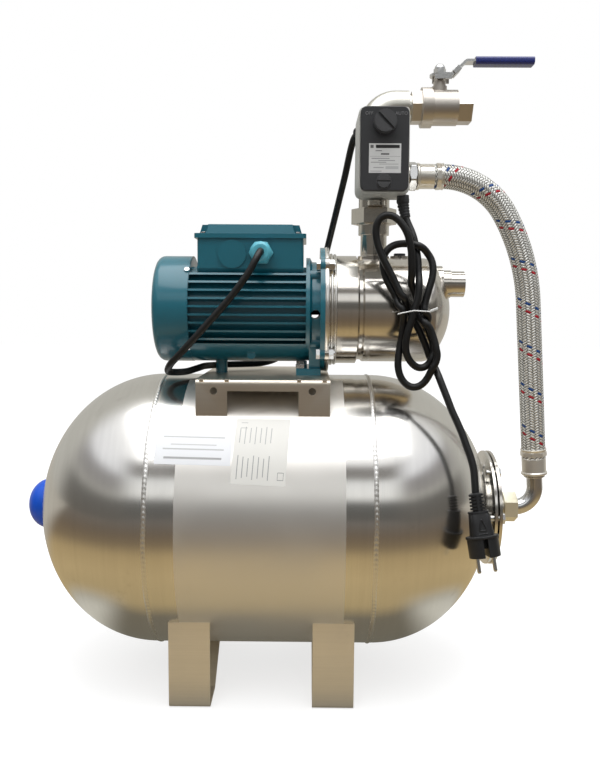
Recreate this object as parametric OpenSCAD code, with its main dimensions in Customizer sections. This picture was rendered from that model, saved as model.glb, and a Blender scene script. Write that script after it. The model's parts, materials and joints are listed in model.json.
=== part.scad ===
// Booster pump set: a self-priming pump and its motor on a horizontal pressure tank,
// with pressure switch, outlet ball valve, braided hose, motor cable and mains lead.
// +Z is up, +X runs from the motor to the pump, and the origin is on the floor
// at the middle of the four foot holes, under the middle of the tank.

/* [Tank] */
// Outside diameter of the tank
tank_d = 360; // [350:1:366]
// Length of the tank from its left dome to the face of its mouth flange
tank_len = 600; // [590:1:606]
// Length of the straight shell between the two end seams
shell_len = 270; // [250:1:274]
// Height of each domed end
dome_h = 161; // [150:1:162]
// Thickness of the tank's steel
tank_wall = 2; // [1.5:0.1:2.5]
// Height of the tank's lowest line above the floor
tank_clear = 40; // [34:1:50]
// Width of the weld bead round each end seam
seam_w = 4; // [3:0.5:6]
// Height of the weld bead
seam_h = 1.2; // [0.8:0.1:2]
// Outside diameter of the tank's neck
neck_d = 100; // [90:1:104]
// Outside diameter of the mouth flange and its cover
mouth_d = 154; // [148:1:160]
// Thickness of the mouth flange and of its cover
mouth_t = 4; // [3:0.5:4.5]
// Bolt circle of the mouth flange
mouth_pcd = 124; // [118:1:130]
// Number of bolts in the mouth flange
mouth_bolt_n = 6; // [4:1:8]
// Thickness of the rubber membrane
membrane_t = 3; // [2:0.5:4]
// Diameter of the membrane inside the tank
membrane_d = 320; // [280:5:330]
// Diameter of the tank connection
port_d = 29; // [27:1:32]
// Length of the tank connection
port_len = 17; // [15:1:22]
// Diameter of the air valve's cap
cap_d = 68; // [60:1:74]
// Height of the air valve's cap
cap_h = 29.6; // [27:0.1:34]

/* [Feet and pump bracket] */
// Distance between the middles of the two feet
feet_gap = 176; // [160:1:190]
// Width of each foot strip
foot_w = 51; // [44:1:60]
// Overall depth of each foot
foot_depth = 284; // [270:1:296]
// Depth of each floor pad
pad_len = 52; // [48:1:56]
// Distance between the front and the rear foot holes
foot_hole_gap = 236; // [224:1:244]
// Diameter of the foot holes
foot_hole_d = 9; // [7:0.5:12]
// Thickness of the foot and bracket sheet
sheet_t = 3; // [2:0.5:4]
// Length of the pump bracket
bracket_len = 164; // [150:1:170]
// Depth of the pump bracket
bracket_depth = 230; // [210:1:240]
// Width of the opening in the front and rear of the bracket
bracket_window = 87; // [70:1:95]
// Depth of the web above that opening
bracket_web = 14; // [10:1:20]
// Distance between the two holes in each bracket face
bracket_hole_gap = 120; // [115:1:130]

/* [Motor] */
// Height of the shaft above the pump bracket
shaft_rise = 85; // [84:0.5:90]
// Length of the motor housing behind the terminal box
motor_rear = 10; // [8:0.1:12]
// Diameter over the cooling fins
fin_d = 139; // [136:1:142]
// Diameter of the housing between the fins
frame_d = 118; // [114:1:122]
// Distance between cooling fins
fin_pitch = 10.4; // [8:0.1:14]
// Thickness of each fin
fin_t = 2.6; // [1.5:0.1:4]
// Outside diameter of the stator
stator_d = 104; // [98:0.5:106]
// Length of the stator and rotor packs
pack_len = 80; // [60:1:84]
// Outside diameter of the rotor
rotor_d = 61; // [50:0.5:64]
// Gap between the rotor and the stator
air_gap = 0.5; // [0.3:0.05:1]
// Shaft diameter through the rotor
shaft_d = 18; // [17.5:0.1:22]
// Bore of the rear bearing
rear_bore_d = 15; // [12:0.5:17]
// Outside diameter of the rear bearing
rear_race_d = 35; // [32:0.5:38]
// Bore of the front bearing
front_bore_d = 17; // [15.5:0.5:17]
// Outside diameter of the front bearing
front_race_d = 40; // [37:0.5:42]
// Outside diameter of the fan cover
fan_cover_d = 140; // [139.5:0.5:142]
// Length of the fan cover
fan_cover_len = 46.5; // [44:0.5:52]
// Thickness of the fan cover
fan_cover_t = 1.5; // [1:0.1:2]
// Diameter of the cooling fan
fan_d = 104; // [90:1:118]
// Number of fan blades
fan_blades = 7; // [5:1:9]
// Length of the lantern between the housing and its flange
lantern_len = 18.4; // [16:0.1:22]
// Thickness of the lantern flange
lantern_flange_t = 6; // [5:0.5:8]
// Outside diameter of the lantern and casing flanges
flange_d = 164; // [162:1:168]
// Bolt circle of the pump casing
casing_pcd = 158; // [157:1:162]

/* [Terminal box] */
// Length of the terminal box
box_len = 136; // [120:1:140]
// Depth of the terminal box
box_depth = 100; // [94:1:106]
// Height of the terminal box
box_h = 35; // [32:1:42]
// Wall of the terminal box
box_wall = 3; // [2:0.5:4]
// Height of the lid's rim
lid_rim = 6; // [4:0.5:8]
// Height of the lid's raised top
lid_rise = 12; // [8:0.5:16]
// Diameter of the blanked cable entry
blank_d = 36; // [28:1:40]
// Diameter of the cable gland's nut
gland_d = 27; // [24:1:29]

/* [Pump] */
// Diameter of the casing's first drum
drum_a_d = 143; // [142:0.5:144]
// Diameter of the casing's second drum
drum_b_d = 138; // [136:0.5:140]
// Length of the first drum from the flange
drum_a_len = 41; // [38:0.5:44]
// Width of the groove between the drums
groove_w = 6; // [5:0.5:8]
// Diameter at the bottom of the groove
groove_d = 133; // [132:0.5:134]
// Overall length of the casing from its flange
casing_len = 165; // [160:0.5:168]
// Radius of the domed end
crown_r = 93; // [88:1:100]
// Radius of the edge of the domed end
knuckle_r = 14; // [10:0.5:18]
// Thickness of the casing's steel
casing_wall = 2; // [1.5:0.1:2.5]
// Thickness of the casing flange
casing_flange_t = 3; // [2.5:0.5:4]
// Thickness of the seal plate
seal_plate_t = 2; // [1.5:0.5:3]
// Height of the suction port above the shaft
suction_rise = 35; // [32:0.5:36]
// Outside diameter of the suction port
suction_d = 34; // [33:0.5:36]
// Bore of the suction port
suction_bore = 27; // [24:0.5:28]
// Length of the suction port beyond the casing
suction_len = 19; // [16:0.5:24]
// Distance of the outlet column from the casing flange
outlet_offset = 63; // [60:0.5:64]
// Diameter of the impeller
impeller_d = 118; // [100:1:126]
// Number of impeller blades
impeller_blades = 6; // [4:1:8]
// Shaft diameter at the seal and impeller
wet_shaft_d = 14; // [12:0.5:15]
// Diameter of the priming plug's boss
priming_boss_d = 25; // [23:0.5:28]
// Diameter of the priming plug's thread
priming_d = 14; // [12:0.5:15]

/* [Outlet column] */
// Diameter of the outlet pipe
pipe_d = 34.6; // [34:0.1:36]
// Diameter of the 1 inch pipe thread
thread_d = 33.2; // [33:0.1:33.4]
// Bore of the outlet fittings
pipe_bore = 26; // [24:0.5:27]
// Outside diameter of the column's fittings
fitting_d = 40.6; // [40:0.1:42]
// Across flats of the union nut
union_af = 52; // [50:0.5:54]
// Length of the union nut
union_len = 20; // [18:0.5:22]
// Length of the tail from the casing to the union nut
tail_len = 44; // [42:0.5:48]
// Length of the manifold above the union nut
manifold_len = 70; // [68:0.5:74]
// Height of the hose port above the union nut
hose_port_rise = 43; // [40:0.5:46]
// Diameter of the outlet elbow
elbow_d = 42.6; // [41:0.1:43]
// Bend radius of the outlet elbow
elbow_r = 26; // [24:0.5:28]

/* [Ball valve] */
// Overall length of the ball valve
valve_len = 78; // [76:0.5:80]
// Diameter of the valve body
valve_d = 45; // [44:0.5:48]
// Diameter of the valve's round collar
collar_d = 51; // [49:0.5:54]
// Across flats of the valve ends
valve_af = 38.5; // [38:0.5:40]
// Diameter of the ball
ball_d = 36; // [35:0.5:36.5]
// Bore of the ball
ball_bore = 25; // [22:0.5:26]
// Minor diameter of the valve outlet's thread
outlet_thread_d = 30.3; // [30:0.1:30.6]
// Diameter of the valve stem
stem_d = 9.6; // [8:0.2:11]
// Height of the valve's neck above the valve's axis
neck_rise = 33; // [31:0.5:35]
// Length of the lever from the stem to its tip
lever_len = 117; // [100:1:130]
// Width of the lever's plate round the stem
lever_w = 26; // [24:0.5:28]
// Thickness of the lever's steel
lever_t = 3; // [2.5:0.1:3.5]
// Height that the lever steps up
lever_step = 18; // [14:0.5:22]

/* [Pressure switch] */
// Width of the switch housing
switch_w = 66; // [62:0.5:70]
// Height of the switch housing
switch_h = 112; // [108:0.5:114]
// Depth of the switch housing
switch_depth = 66; // [60:0.5:70]
// Width of the front cover
cover_w = 58.5; // [54:0.5:60]
// Height of the front cover
cover_h = 99; // [94:0.5:102]
// Thickness of the front cover
cover_t = 7; // [5:0.5:9]
// Diameter of the rotary knob
knob_d = 27.6; // [24:0.2:30]
// How far the knob stands out
knob_h = 12; // [9:0.5:14]

/* [Hose] */
// Outside diameter of the braided hose
hose_d = 32; // [30:0.5:33]
// Bore of the hose
hose_bore = 25; // [20:0.5:26]
// Diameter of the crimped ferrules
ferrule_d = 35; // [34:0.5:37]
// Length of the crimped ferrules
ferrule_len = 35; // [30:0.5:38]
// Radius of the hose's upper bend
hose_r1 = 96; // [90:1:100]
// Radius of the hose's lower bend
hose_r2 = 270; // [250:5:290]
// Diameter of the bent end tube
tube_d = 21.2; // [20:0.1:22]
// Bend radius of the end tube
tube_r = 27; // [25:0.5:30]
// Across flats of the swivel nut
hose_nut_af = 36; // [34:0.5:38]
// Length of the swivel nut
hose_nut_len = 18; // [16:0.5:20]

/* [Cables] */
// Diameter of the motor cable
cable_d = 9; // [7:0.5:9]
// Diameter of the mains lead
lead_d = 9; // [7:0.5:9]
// Diameter of the plug's flange
plug_d = 39; // [37:0.5:41]
// Length of the plug from its flange to its face
plug_face = 22; // [18:0.5:26]
// Diameter of each plug pin
pin_d = 4.8; // [4:0.1:4.8]
// Distance between the plug pins
pin_gap = 19; // [17:0.5:19]

/* [Fits and fasteners] */
// Radial clearance of a shaft in its bearing or seal
run_fit = 0.05; // [0.03:0.01:0.08]
// Clearance between pieces that seat in each other
seat_fit = 0.1; // [0.05:0.05:0.2]
// Gap between moving curved faces
face_gap = 0.3; // [0.3:0.05:0.5]
// Diameter of the M8 bolts
bolt_d = 8; // [6:0.5:8]
// Across flats of the M8 bolt heads and nuts
bolt_af = 13; // [12:0.5:13]
// Height of the M8 bolt heads
head_h = 5.3; // [4:0.1:5.5]
// Height of the M8 nuts
nut_h = 6.5; // [5:0.1:6.8]
// Diameter of the small cover screws
screw_d = 4; // [3:0.5:4]

/* [Hidden] */
$fn = 64;

// Tank
tank_r = tank_d / 2;
tank_z = tank_clear + tank_r;
shell_x = shell_len / 2;
mouth_x = tank_len / 2;
dome_x = mouth_x - dome_h;
neck_r = neck_d / 2;
rim_t = 2;
cover_x = mouth_x + rim_t;
port_x = cover_x + mouth_t;
mouth_bolt_end = mouth_x - mouth_t - 3;
neck_x = dome_x + (dome_h - tank_wall) * sqrt(1 - pow(neck_r / (tank_r - tank_wall), 2));
mouth_r = mouth_d / 2;
port_bore = 8;
port_boss_r = 20;
port_thread_r = 12;
air_stem_d = 9;
air_stem_x = mouth_x + 18;
air_nut_x = mouth_x + 5;
air_nut_af = 16;
air_pin_d = 2;
air_pin_travel = 1.5;
cap_r = cap_d / 2;
cap_wall = 2.5;
cap_rim_x = dome_x + dome_h * sqrt(1 - pow((cap_r - cap_wall) / tank_r, 2)) + face_gap;

// Feet and bracket
strip_r = 3.5;
foot_rise = tank_clear - seat_fit - sheet_t / 2;
saddle_half = 33;
bracket_z = tank_z + tank_r + face_gap;
plate_z = bracket_z + sheet_t;

// Motor, along the shaft from the lantern flange's pump side
flange_x = 76;
shaft_z = plate_z + shaft_rise;
lantern_x = flange_x - lantern_flange_t - lantern_len;
box_gap = 3.6;
motor_len = box_gap + box_len + motor_rear;
motor_x = lantern_x - motor_len;
pack_x = lantern_x + 3.2 - (motor_len + pack_len) / 2;
frame_r = frame_d / 2;
fin_r = fin_d / 2;
stator_r = stator_d / 2;
rotor_r = rotor_d / 2;
shaft_r = shaft_d / 2;
rear_bearing_x = motor_x - 1;
rear_bearing_w = 11;
front_bearing_w = 12;
front_bearing_x = lantern_x - 9.6;
bearing_shoulder = front_bearing_x + front_bearing_w;
shield_t = 6;
fan_bore_r = 6;
shaft_hole_r = 9;
shield_r = fan_cover_d / 2 - fan_cover_t - face_gap;
grille_r = 4;
fin_n = 9;
fin_top = 46.3;
flank_z = 44;
rear_foot_r = 8;
winding_w = 18;
lantern_r = 63;
lantern_bore = 45;
fan_hub_x = motor_x - shield_t - 22;
fan_hub_w = 18;
rear_end_x = fan_hub_x - 2;
wet_r = wet_shaft_d / 2;
shaft_end_x = flange_x + 28;
flange_r = flange_d / 2;
bolt_angles = [45, 135, 225, 315];
ear_r = 9.5;
foot_slab_t = 8.5;
foot_bolt_x = lantern_x - 5.6;
foot_bolt_y = 34;

// Terminal box
box_end = lantern_x - box_gap;
box_x = box_end - box_len;
box_z = 55;
box_top = box_z + box_h;
gland_x = box_end - 54;
gland_rise = box_z + 16.5;
blank_x = box_end - 91;
gland_len = 20;
gland_thread_r = 9;
lid_over = 3.5;
corner_r = 5;

// Pump
casing_x = flange_x + seal_plate_t;
drum_a_r = drum_a_d / 2;
drum_b_r = drum_b_d / 2;
groove_r = groove_d / 2;
drum_a_end = casing_x + drum_a_len;
drum_b_x = drum_a_end + groove_w;
apex_x = casing_x + casing_len;
crown_x = apex_x - crown_r;
knuckle_x = crown_x + sqrt(pow(crown_r - knuckle_r, 2) - pow(drum_b_r - knuckle_r, 2));
knuckle_a = atan2(drum_b_r - knuckle_r, knuckle_x - crown_x);
pad_r = 24;
pad_x = crown_x + sqrt(pow(crown_r, 2) - pow(suction_rise + pad_r * 0.35, 2));
suction_x = apex_x + suction_len;
outlet_x = casing_x + outlet_offset;
priming_x = outlet_x + 35;
priming_top = drum_b_r + 2.5;
eye_r = 22;
ejector_r = 16.5;
seal_r = 16;
impeller_x = flange_x + 8;
impeller_w = 14;
diffuser_x = impeller_x + impeller_w + 4;

// Outlet column, by height above the floor
casing_top = shaft_z + drum_b_r;
column_top = casing_top + tail_len;
nut_top = column_top + union_len;
hose_z = nut_top + hose_port_rise;
manifold_top = nut_top + manifold_len;
elbow_z = manifold_top + 61;
thread_r = thread_d / 2;
fitting_r = fitting_d / 2;
bore_r = pipe_bore / 2;
collar_h = 14.3;
union_thread_r = 23;
union_seat = 9.7;
lip_h = 5.3;
arm_r = 16;

// Ball valve, along X from the elbow
valve_x = outlet_x + 46;
valve_end_x = valve_x + valve_len;
stem_x = valve_x + 37;
collar_x = valve_x + 13;
split_x = valve_x + 27;
valve_hex_x = valve_end_x - 19;
ball_r = ball_d / 2;
stem_r = stem_d / 2;
seat_x = stem_x - 12.5;
seat_len = 6.5;
seat_out_r = 17.6;
outlet_thread_len = 15;
tang_t = 3;
tang_z = 13.5;
stem_top = neck_rise + 18;
lever_bend_x = stem_x + 15;
arm_w = 18;
sleeve_len = 72;
lock_len = 11;

// Pressure switch
switch_x = outlet_x + 3.5;
switch_z = nut_top + 6.5;
switch_back = -fitting_r - 2;
switch_front = switch_back - switch_depth;
cover_z = switch_z + 5;
cover_front = switch_front - cover_t;
knob_z = switch_z + 84;
port_y = -34;
switch_screw_z = 15;
switch_screw_r = 7.8;
knob_shaft_r = 4;

// Hose, in the plane through the column and the tank's mouth
hose_x = outlet_x + 55;
hose_start = hose_x + ferrule_len;
arm_x = hose_x - 10;
insert_r = hose_bore / 2 - seat_fit;
insert_bore = 9;
end_af = 34;
lap = 1;
hair = 0.12;
bend_1 = 60;
bend_2 = 26;
slope = 90 - bend_1 - bend_2;
bend_1_z = hose_z - hose_r1 * (1 - cos(bend_1));
bend_2_z = bend_1_z - hose_r2 * (cos(bend_1) - sin(slope));
turn_z = tank_z + tube_r;
turn_start_z = turn_z + tube_r * sin(slope);
ferrule_gap = 17;
drop = (bend_2_z - turn_start_z - ferrule_gap) / cos(slope) - ferrule_len;
hose_end_z = bend_2_z - drop * cos(slope);
nut_x = port_x + port_len;
bend_reach = hose_r1 * sin(bend_1) + hose_r2 * (cos(slope) - sin(bend_1)) + drop * sin(slope);
turn_reach = bend_reach + (hose_end_z - turn_start_z) * tan(slope) - tube_r * cos(slope);
turn_seat = 1;
hose_run = max(0, nut_x + hose_nut_len - turn_seat - hose_start - turn_reach);
bend_1_x = hose_start + hose_run + hose_r1 * sin(bend_1);
bend_2_x = bend_1_x + hose_r2 * (cos(slope) - sin(bend_1));
hose_end_x = hose_start + hose_run + bend_reach;
turn_x = hose_start + hose_run + turn_reach;
port_end = nut_x + 8;

// Cables: routes through points in the air, chosen as the cables lie
lead_exit = [172, -60];
relief_len = 24;
motor_entry = [switch_x - 26.5, switch_z + 88.2];
// Heights are above the pump bracket
cable_route = [
    [-6, -58, 156.5], [-6, -74, 156.5], [-10, -84, 147.5], [-19, -87, 130.5],
    [-33, -87, 110.5], [-50, -86, 89.5], [-69, -85, 68.5], [-88, -84, 47.5], [-106, -80, 28.5],
    [-119, -72, 15.5], [-125, -58, 5.5], [-120, -42, 2.5], [-106, -30, 2.5], [-94, -16, 5.5],
    [-86, 2, 7.5], [-76, 20, 7.5], [-58, 36, 7.5], [-35, 47, 7.5], [-10, 58, 8.5],
    [12, 73, 15.5], [33, 85, 34.5], [50, 91, 62.5], [62, 91, 96.5], [73, 84, 136.5],
    [82, 70, 174.5], [90, 54, 208.5], [97, 38, 238.5], [103, 24, 264.5], [107, 14, 284.5],
    [110, 6, 298.5], [113, -2, 308.5], [116.5, -9, 312.7], [118, -14, 312.7], [118, -23, 312.7]
];
// Heights are from the switch's underside
lead_top = [
    [172, -60, -2], [172, -60, -14], [172, -60, -25], [173, -64, -35], [175, -73, -45],
    [177, -83, -55]
];
// Depths are shares of the tank's radius, heights are above the pump bracket
tail_route = [
    [205, -0.528, 27.5], [212, -0.544, 13.5], [218.8, -0.567, -1], [225.5, -0.6, -23],
    [231.9, -0.633, -40.5], [239.5, -0.664, -57], [245.7, -0.7, -75.5], [250.4, -0.725, -89],
    [253.1, -0.742, -97.5], [254.5, -0.772, -115], [255.2, -0.797, -131]
];
lead_tail = [for (p = tail_route) [p[0], p[1] * tank_r, p[2] + plate_z]];
plug_entry = lead_tail[len(lead_tail) - 1];
plug_tilt = 12;
plug_lean = 8;
plug_flange = 53;
hank_y = -76.5;
hank_t = 27;
waist = [186, 83.7, 17];
hank_top = [[152, 188.7, 19], [193, 141.7, 20], waist];
hank_low = [waist, [197, 36.7, 20], [189, 8.7, 24]];

// Shapes along X
module x_rod(r, x0, x1) {
    translate([x0, 0, 0]) rotate([0, 90, 0]) cylinder(r = r, h = x1 - x0);
}
module x_ring(r, bore, x0, x1) {
    difference() {
        x_rod(r, x0, x1);
        x_rod(bore, x0 - 1, x1 + 1);
    }
}
module x_hex(af, x0, x1) {
    translate([x0, 0, 0]) rotate([0, 90, 0]) cylinder(r = af / sqrt(3), h = x1 - x0, $fn = 6);
}
// A revolved outline; each point is [radius, place along X]
module x_turned(points) {
    rotate([0, 90, 0]) rotate_extrude() polygon(points);
}
// An outline in Y and Z, drawn out along X
module x_prism(x0, x1) {
    translate([x0, 0, 0]) rotate([90, 0, 90]) linear_extrude(x1 - x0) children();
}

// A bent strip: path is its middle line, t its thickness and r the middle line's bend radius
function heading(a, b) = (b - a) / norm(b - a);
function left_of(d) = [-d[1], d[0]];
function spin(v, a) = [v[0] * cos(a) - v[1] * sin(a), v[0] * sin(a) + v[1] * cos(a)];
function bend(a, b, c, off, r) =
    let (d1 = heading(a, b), d2 = heading(b, c), s = sign(cross(d1, d2)), turn = acos(d1 * d2))
    let (middle = b - r * tan(turn / 2) * d1 + s * r * left_of(d1))
    [for (k = [0:4]) middle + (off - s * r) * spin(left_of(d1), s * turn * k / 4)];
function strip_side(p, off, r) =
    let (n = len(p) - 1)
    concat(
        [p[0] + off * left_of(heading(p[0], p[1]))],
        [for (i = [1:n - 1]) each bend(p[i - 1], p[i], p[i + 1], off, r)],
        [p[n] + off * left_of(heading(p[n - 1], p[n]))]
    );
function reversed(p) = [for (i = [len(p) - 1:-1:0]) p[i]];
module strip(path, t, r) {
    polygon(concat(strip_side(path, t / 2, r), reversed(strip_side(path, -t / 2, r))));
}

// A tube swept along a route of points, sides flat, ends square to the route
function tangent(p, i) =
    heading(p[max(i - 1, 0)], p[min(i + 1, len(p) - 1)]);
function side_vector(t) =
    let (ref = abs(t[1]) > 0.9 ? [1, 0, 0] : [0, 1, 0], v = cross(t, ref)) v / norm(v);
function carried(v, t) = let (w = v - (v * t) * t) w / norm(w);
function frames(p, i, v) =
    i == len(p) ? [] : let (w = carried(v, tangent(p, i))) concat([w], frames(p, i + 1, w));
module swept(p, r, sides) {
    v = frames(p, 0, side_vector(tangent(p, 0)));
    n = len(p);
    rings = [
        for (i = [0:n - 1], k = [0:sides - 1])
            let (u = cross(tangent(p, i), v[i]), a = 360 * k / sides)
            p[i] + r * (cos(a) * v[i] + sin(a) * u)
    ];
    walls = [
        for (i = [0:n - 2], k = [0:sides - 1])
            let (a = i * sides + k, b = i * sides + (k + 1) % sides)
            each [[a, a + sides, b + sides], [a, b + sides, b]]
    ];
    ends = [
        for (k = [1:sides - 2]) each [
            [0, k, k + 1],
            [(n - 1) * sides, (n - 1) * sides + k + 1, (n - 1) * sides + k]
        ]
    ];
    polyhedron(points = rings, faces = concat(walls, ends));
}

module at_shaft() {
    translate([0, 0, shaft_z]) children();
}
module at_tank() {
    translate([0, 0, tank_z]) children();
}
module at_valve() {
    translate([0, 0, elbow_z]) children();
}
module column(r, z0, z1) {
    translate([outlet_x, 0, z0]) cylinder(r = r, h = z1 - z0);
}
module round_box(size, r) {
    linear_extrude(size[2]) {
        translate([r, 0]) square([size[0] - 2 * r, size[1]]);
        translate([0, r]) square([size[0], size[1] - 2 * r]);
        for (x = [r, size[0] - r], y = [r, size[1] - r]) translate([x, y]) circle(r);
    }
}

// Tank
function dome(r, h, x) =
    [for (k = [0:24]) let (a = 90 * k / 24) [r * cos(a), x + h * sin(a)]];
module dome_shell() {
    difference() {
        x_turned(concat([[0, shell_x], [tank_r, shell_x]], dome(tank_r, dome_h, dome_x)));
        x_turned(concat(
            [[0, shell_x - 1], [tank_r - tank_wall, shell_x - 1]],
            dome(tank_r - tank_wall, dome_h - tank_wall, dome_x)
        ));
    }
}
module mouth_places() {
    for (k = [0:mouth_bolt_n - 1]) rotate([30 + 360 * k / mouth_bolt_n, 0, 0])
        translate([0, 0, mouth_pcd / 2]) children();
}
// The shell carries the weld bead over each end seam
module tank_shell() {
    bead_in = tank_r - tank_wall / 2;
    bead_out = tank_r + seam_h;
    color("silver") at_tank() {
        x_ring(tank_r, tank_r - tank_wall, -shell_x, shell_x);
        for (s = [0, 1]) mirror([s, 0, 0]) x_turned([
            [bead_in, shell_x - seam_w / 2], [tank_r, shell_x - seam_w / 2],
            [bead_out, shell_x - seam_w / 4], [bead_out, shell_x + seam_w / 4],
            [tank_r, shell_x + seam_w / 2], [tank_r, shell_x], [bead_in, shell_x]
        ]);
    }
}
module tank_end_left() {
    color("silver") at_tank() mirror([1, 0, 0]) difference() {
        dome_shell();
        x_rod(air_stem_d / 2 + seat_fit, mouth_x - 2 * tank_wall, mouth_x + 1);
    }
}
module tank_end_right() {
    color("silver") at_tank() difference() {
        union() {
            dome_shell();
            x_rod(neck_r, neck_x, mouth_x);
            x_rod(mouth_r, mouth_x - mouth_t, mouth_x);
        }
        x_rod(neck_r - tank_wall, dome_x + dome_h / 2, mouth_x + 1);
        mouth_places() x_rod(bolt_d / 2 + seat_fit, mouth_x - mouth_t - 1, mouth_x + 1);
    }
}
// The bag's rim is the seal of the mouth
module tank_membrane() {
    bag_r = membrane_d / 2;
    bag_end = shell_x - 20;
    bag_h = dome_h - 31;
    bag_neck = neck_r - 4;
    rim_r = mouth_pcd / 2 - bolt_d / 2 - 1;
    neck_a = acos(bag_neck / bag_r);
    in_r = bag_r - membrane_t;
    in_h = bag_h - membrane_t;
    in_neck = bag_neck - membrane_t;
    in_a = acos(in_neck / in_r);
    color("dimgray") at_tank() x_turned(concat(
        [for (k = [0:12]) let (a = 90 - 90 * k / 12) [bag_r * cos(a), -bag_end - bag_h * sin(a)]],
        [for (k = [0:12]) let (a = neck_a * k / 12) [bag_r * cos(a), bag_end + bag_h * sin(a)]],
        [[bag_neck, mouth_x], [rim_r, mouth_x], [rim_r, cover_x], [in_neck, cover_x]],
        [for (k = [0:12]) let (a = in_a * (1 - k / 12)) [in_r * cos(a), bag_end + in_h * sin(a)]],
        [for (k = [0:12]) let (a = 90 * k / 12) [in_r * cos(a), -bag_end - in_h * sin(a)]]
    ));
}
module mouth_cover() {
    color("silver") at_tank() difference() {
        x_turned([
            [port_bore, cover_x], [mouth_r, cover_x], [mouth_r, port_x],
            [port_boss_r, port_x], [port_boss_r, port_x + 3], [port_d / 2, port_x + 3],
            [port_d / 2, nut_x], [port_thread_r, nut_x], [port_thread_r, port_end],
            [port_bore, port_end]
        ]);
        mouth_places() x_rod(bolt_d / 2 + seat_fit, cover_x - 1, port_x + 1);
    }
}
module mouth_bolts() {
    color("gainsboro") at_tank() mouth_places() {
        x_rod(bolt_d / 2, mouth_bolt_end, port_x + 1);
        x_hex(bolt_af, port_x, port_x + head_h);
    }
}

// Air valve, at the middle of the left dome
module air_valve_stem() {
    color("goldenrod") at_tank() mirror([1, 0, 0]) difference() {
        union() {
            x_rod(air_stem_d, mouth_x - tank_wall - 3, mouth_x - tank_wall - 0.5);
            x_rod(air_stem_d / 2, mouth_x - tank_wall - 1, air_stem_x);
            x_hex(air_nut_af, mouth_x + seat_fit, air_nut_x);
        }
        x_rod(air_pin_d / 2 + run_fit, mouth_x - tank_wall - 4, air_stem_x + 1);
    }
}
module air_valve_pin() {
    color("goldenrod") at_tank() mirror([1, 0, 0])
        x_rod(air_pin_d / 2, mouth_x, air_stem_x + air_pin_travel);
}
module air_valve_cap() {
    color("blue") at_tank() mirror([1, 0, 0]) {
        x_turned(concat(
            [for (k = [0:12]) let (a = 90 * k / 12) [cap_r * cos(a), cap_rim_x + cap_h * sin(a)]],
            [for (k = [0:12]) let (a = 90 - 90 * k / 12)
                [(cap_r - cap_wall) * cos(a), cap_rim_x + (cap_h - cap_wall) * sin(a)]]
        ));
        x_ring(air_stem_d, air_stem_d / 2 + run_fit, air_nut_x + face_gap, cap_rim_x + cap_h - 2);
    }
}

// Each foot is one bent strip: two legs, two floor pads and a saddle under the tank
module foot(side) {
    outer = foot_depth / 2 - sheet_t / 2;
    inner = foot_depth / 2 - pad_len;
    low = sheet_t / 2;
    leg_top = tank_z - tank_r / 2;
    path = [
        [-outer, leg_top], [-outer, low], [-inner, low], [-saddle_half, foot_rise],
        [saddle_half, foot_rise], [inner, low], [outer, low], [outer, leg_top]
    ];
    color("tan") translate([side * feet_gap / 2, 0, 0]) difference() {
        x_prism(-foot_w / 2, foot_w / 2) strip(path, sheet_t, strip_r);
        at_tank() x_rod(tank_r + seat_fit, -foot_w, foot_w);
        for (s = [-1, 1]) translate([0, s * foot_hole_gap / 2, -1])
            cylinder(r = foot_hole_d / 2, h = sheet_t + 2);
    }
}
module foot_left() {
    foot(-1);
}
module foot_right() {
    foot(1);
}
module pump_bracket() {
    half = bracket_depth / 2 - sheet_t / 2;
    middle = plate_z - sheet_t / 2;
    low = tank_z + tank_r / 2;
    path = [[-half, low], [-half, middle], [half, middle], [half, low]];
    color("silver") difference() {
        x_prism(-bracket_len / 2, bracket_len / 2) strip(path, sheet_t, strip_r);
        at_tank() x_rod(tank_r + seat_fit, -bracket_len, bracket_len);
        translate([-bracket_window / 2, -bracket_depth, low - 1])
            cube([bracket_window, 2 * bracket_depth, plate_z - bracket_web - low + 1]);
        for (s = [-1, 1]) translate([s * bracket_hole_gap / 2, 0, plate_z - bracket_web])
            rotate([90, 0, 0]) cylinder(r = foot_hole_d / 2, h = 2 * bracket_depth, center = true);
        for (s = [-1, 1]) translate([foot_bolt_x, s * foot_bolt_y, bracket_z - 1])
            cylinder(r = bolt_d / 2 + seat_fit, h = sheet_t + 2);
    }
}

// Motor
module housing_outline() {
    intersection() {
        circle(fin_r);
        union() {
            circle(frame_r);
            for (k = [0:fin_n - 1]) translate([-fin_r, fin_top - k * fin_pitch - fin_t])
                square([fin_d, fin_t]);
            translate([-fin_r, -fin_r]) square([fin_d, fin_r - flank_z]);
        }
    }
}
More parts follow.
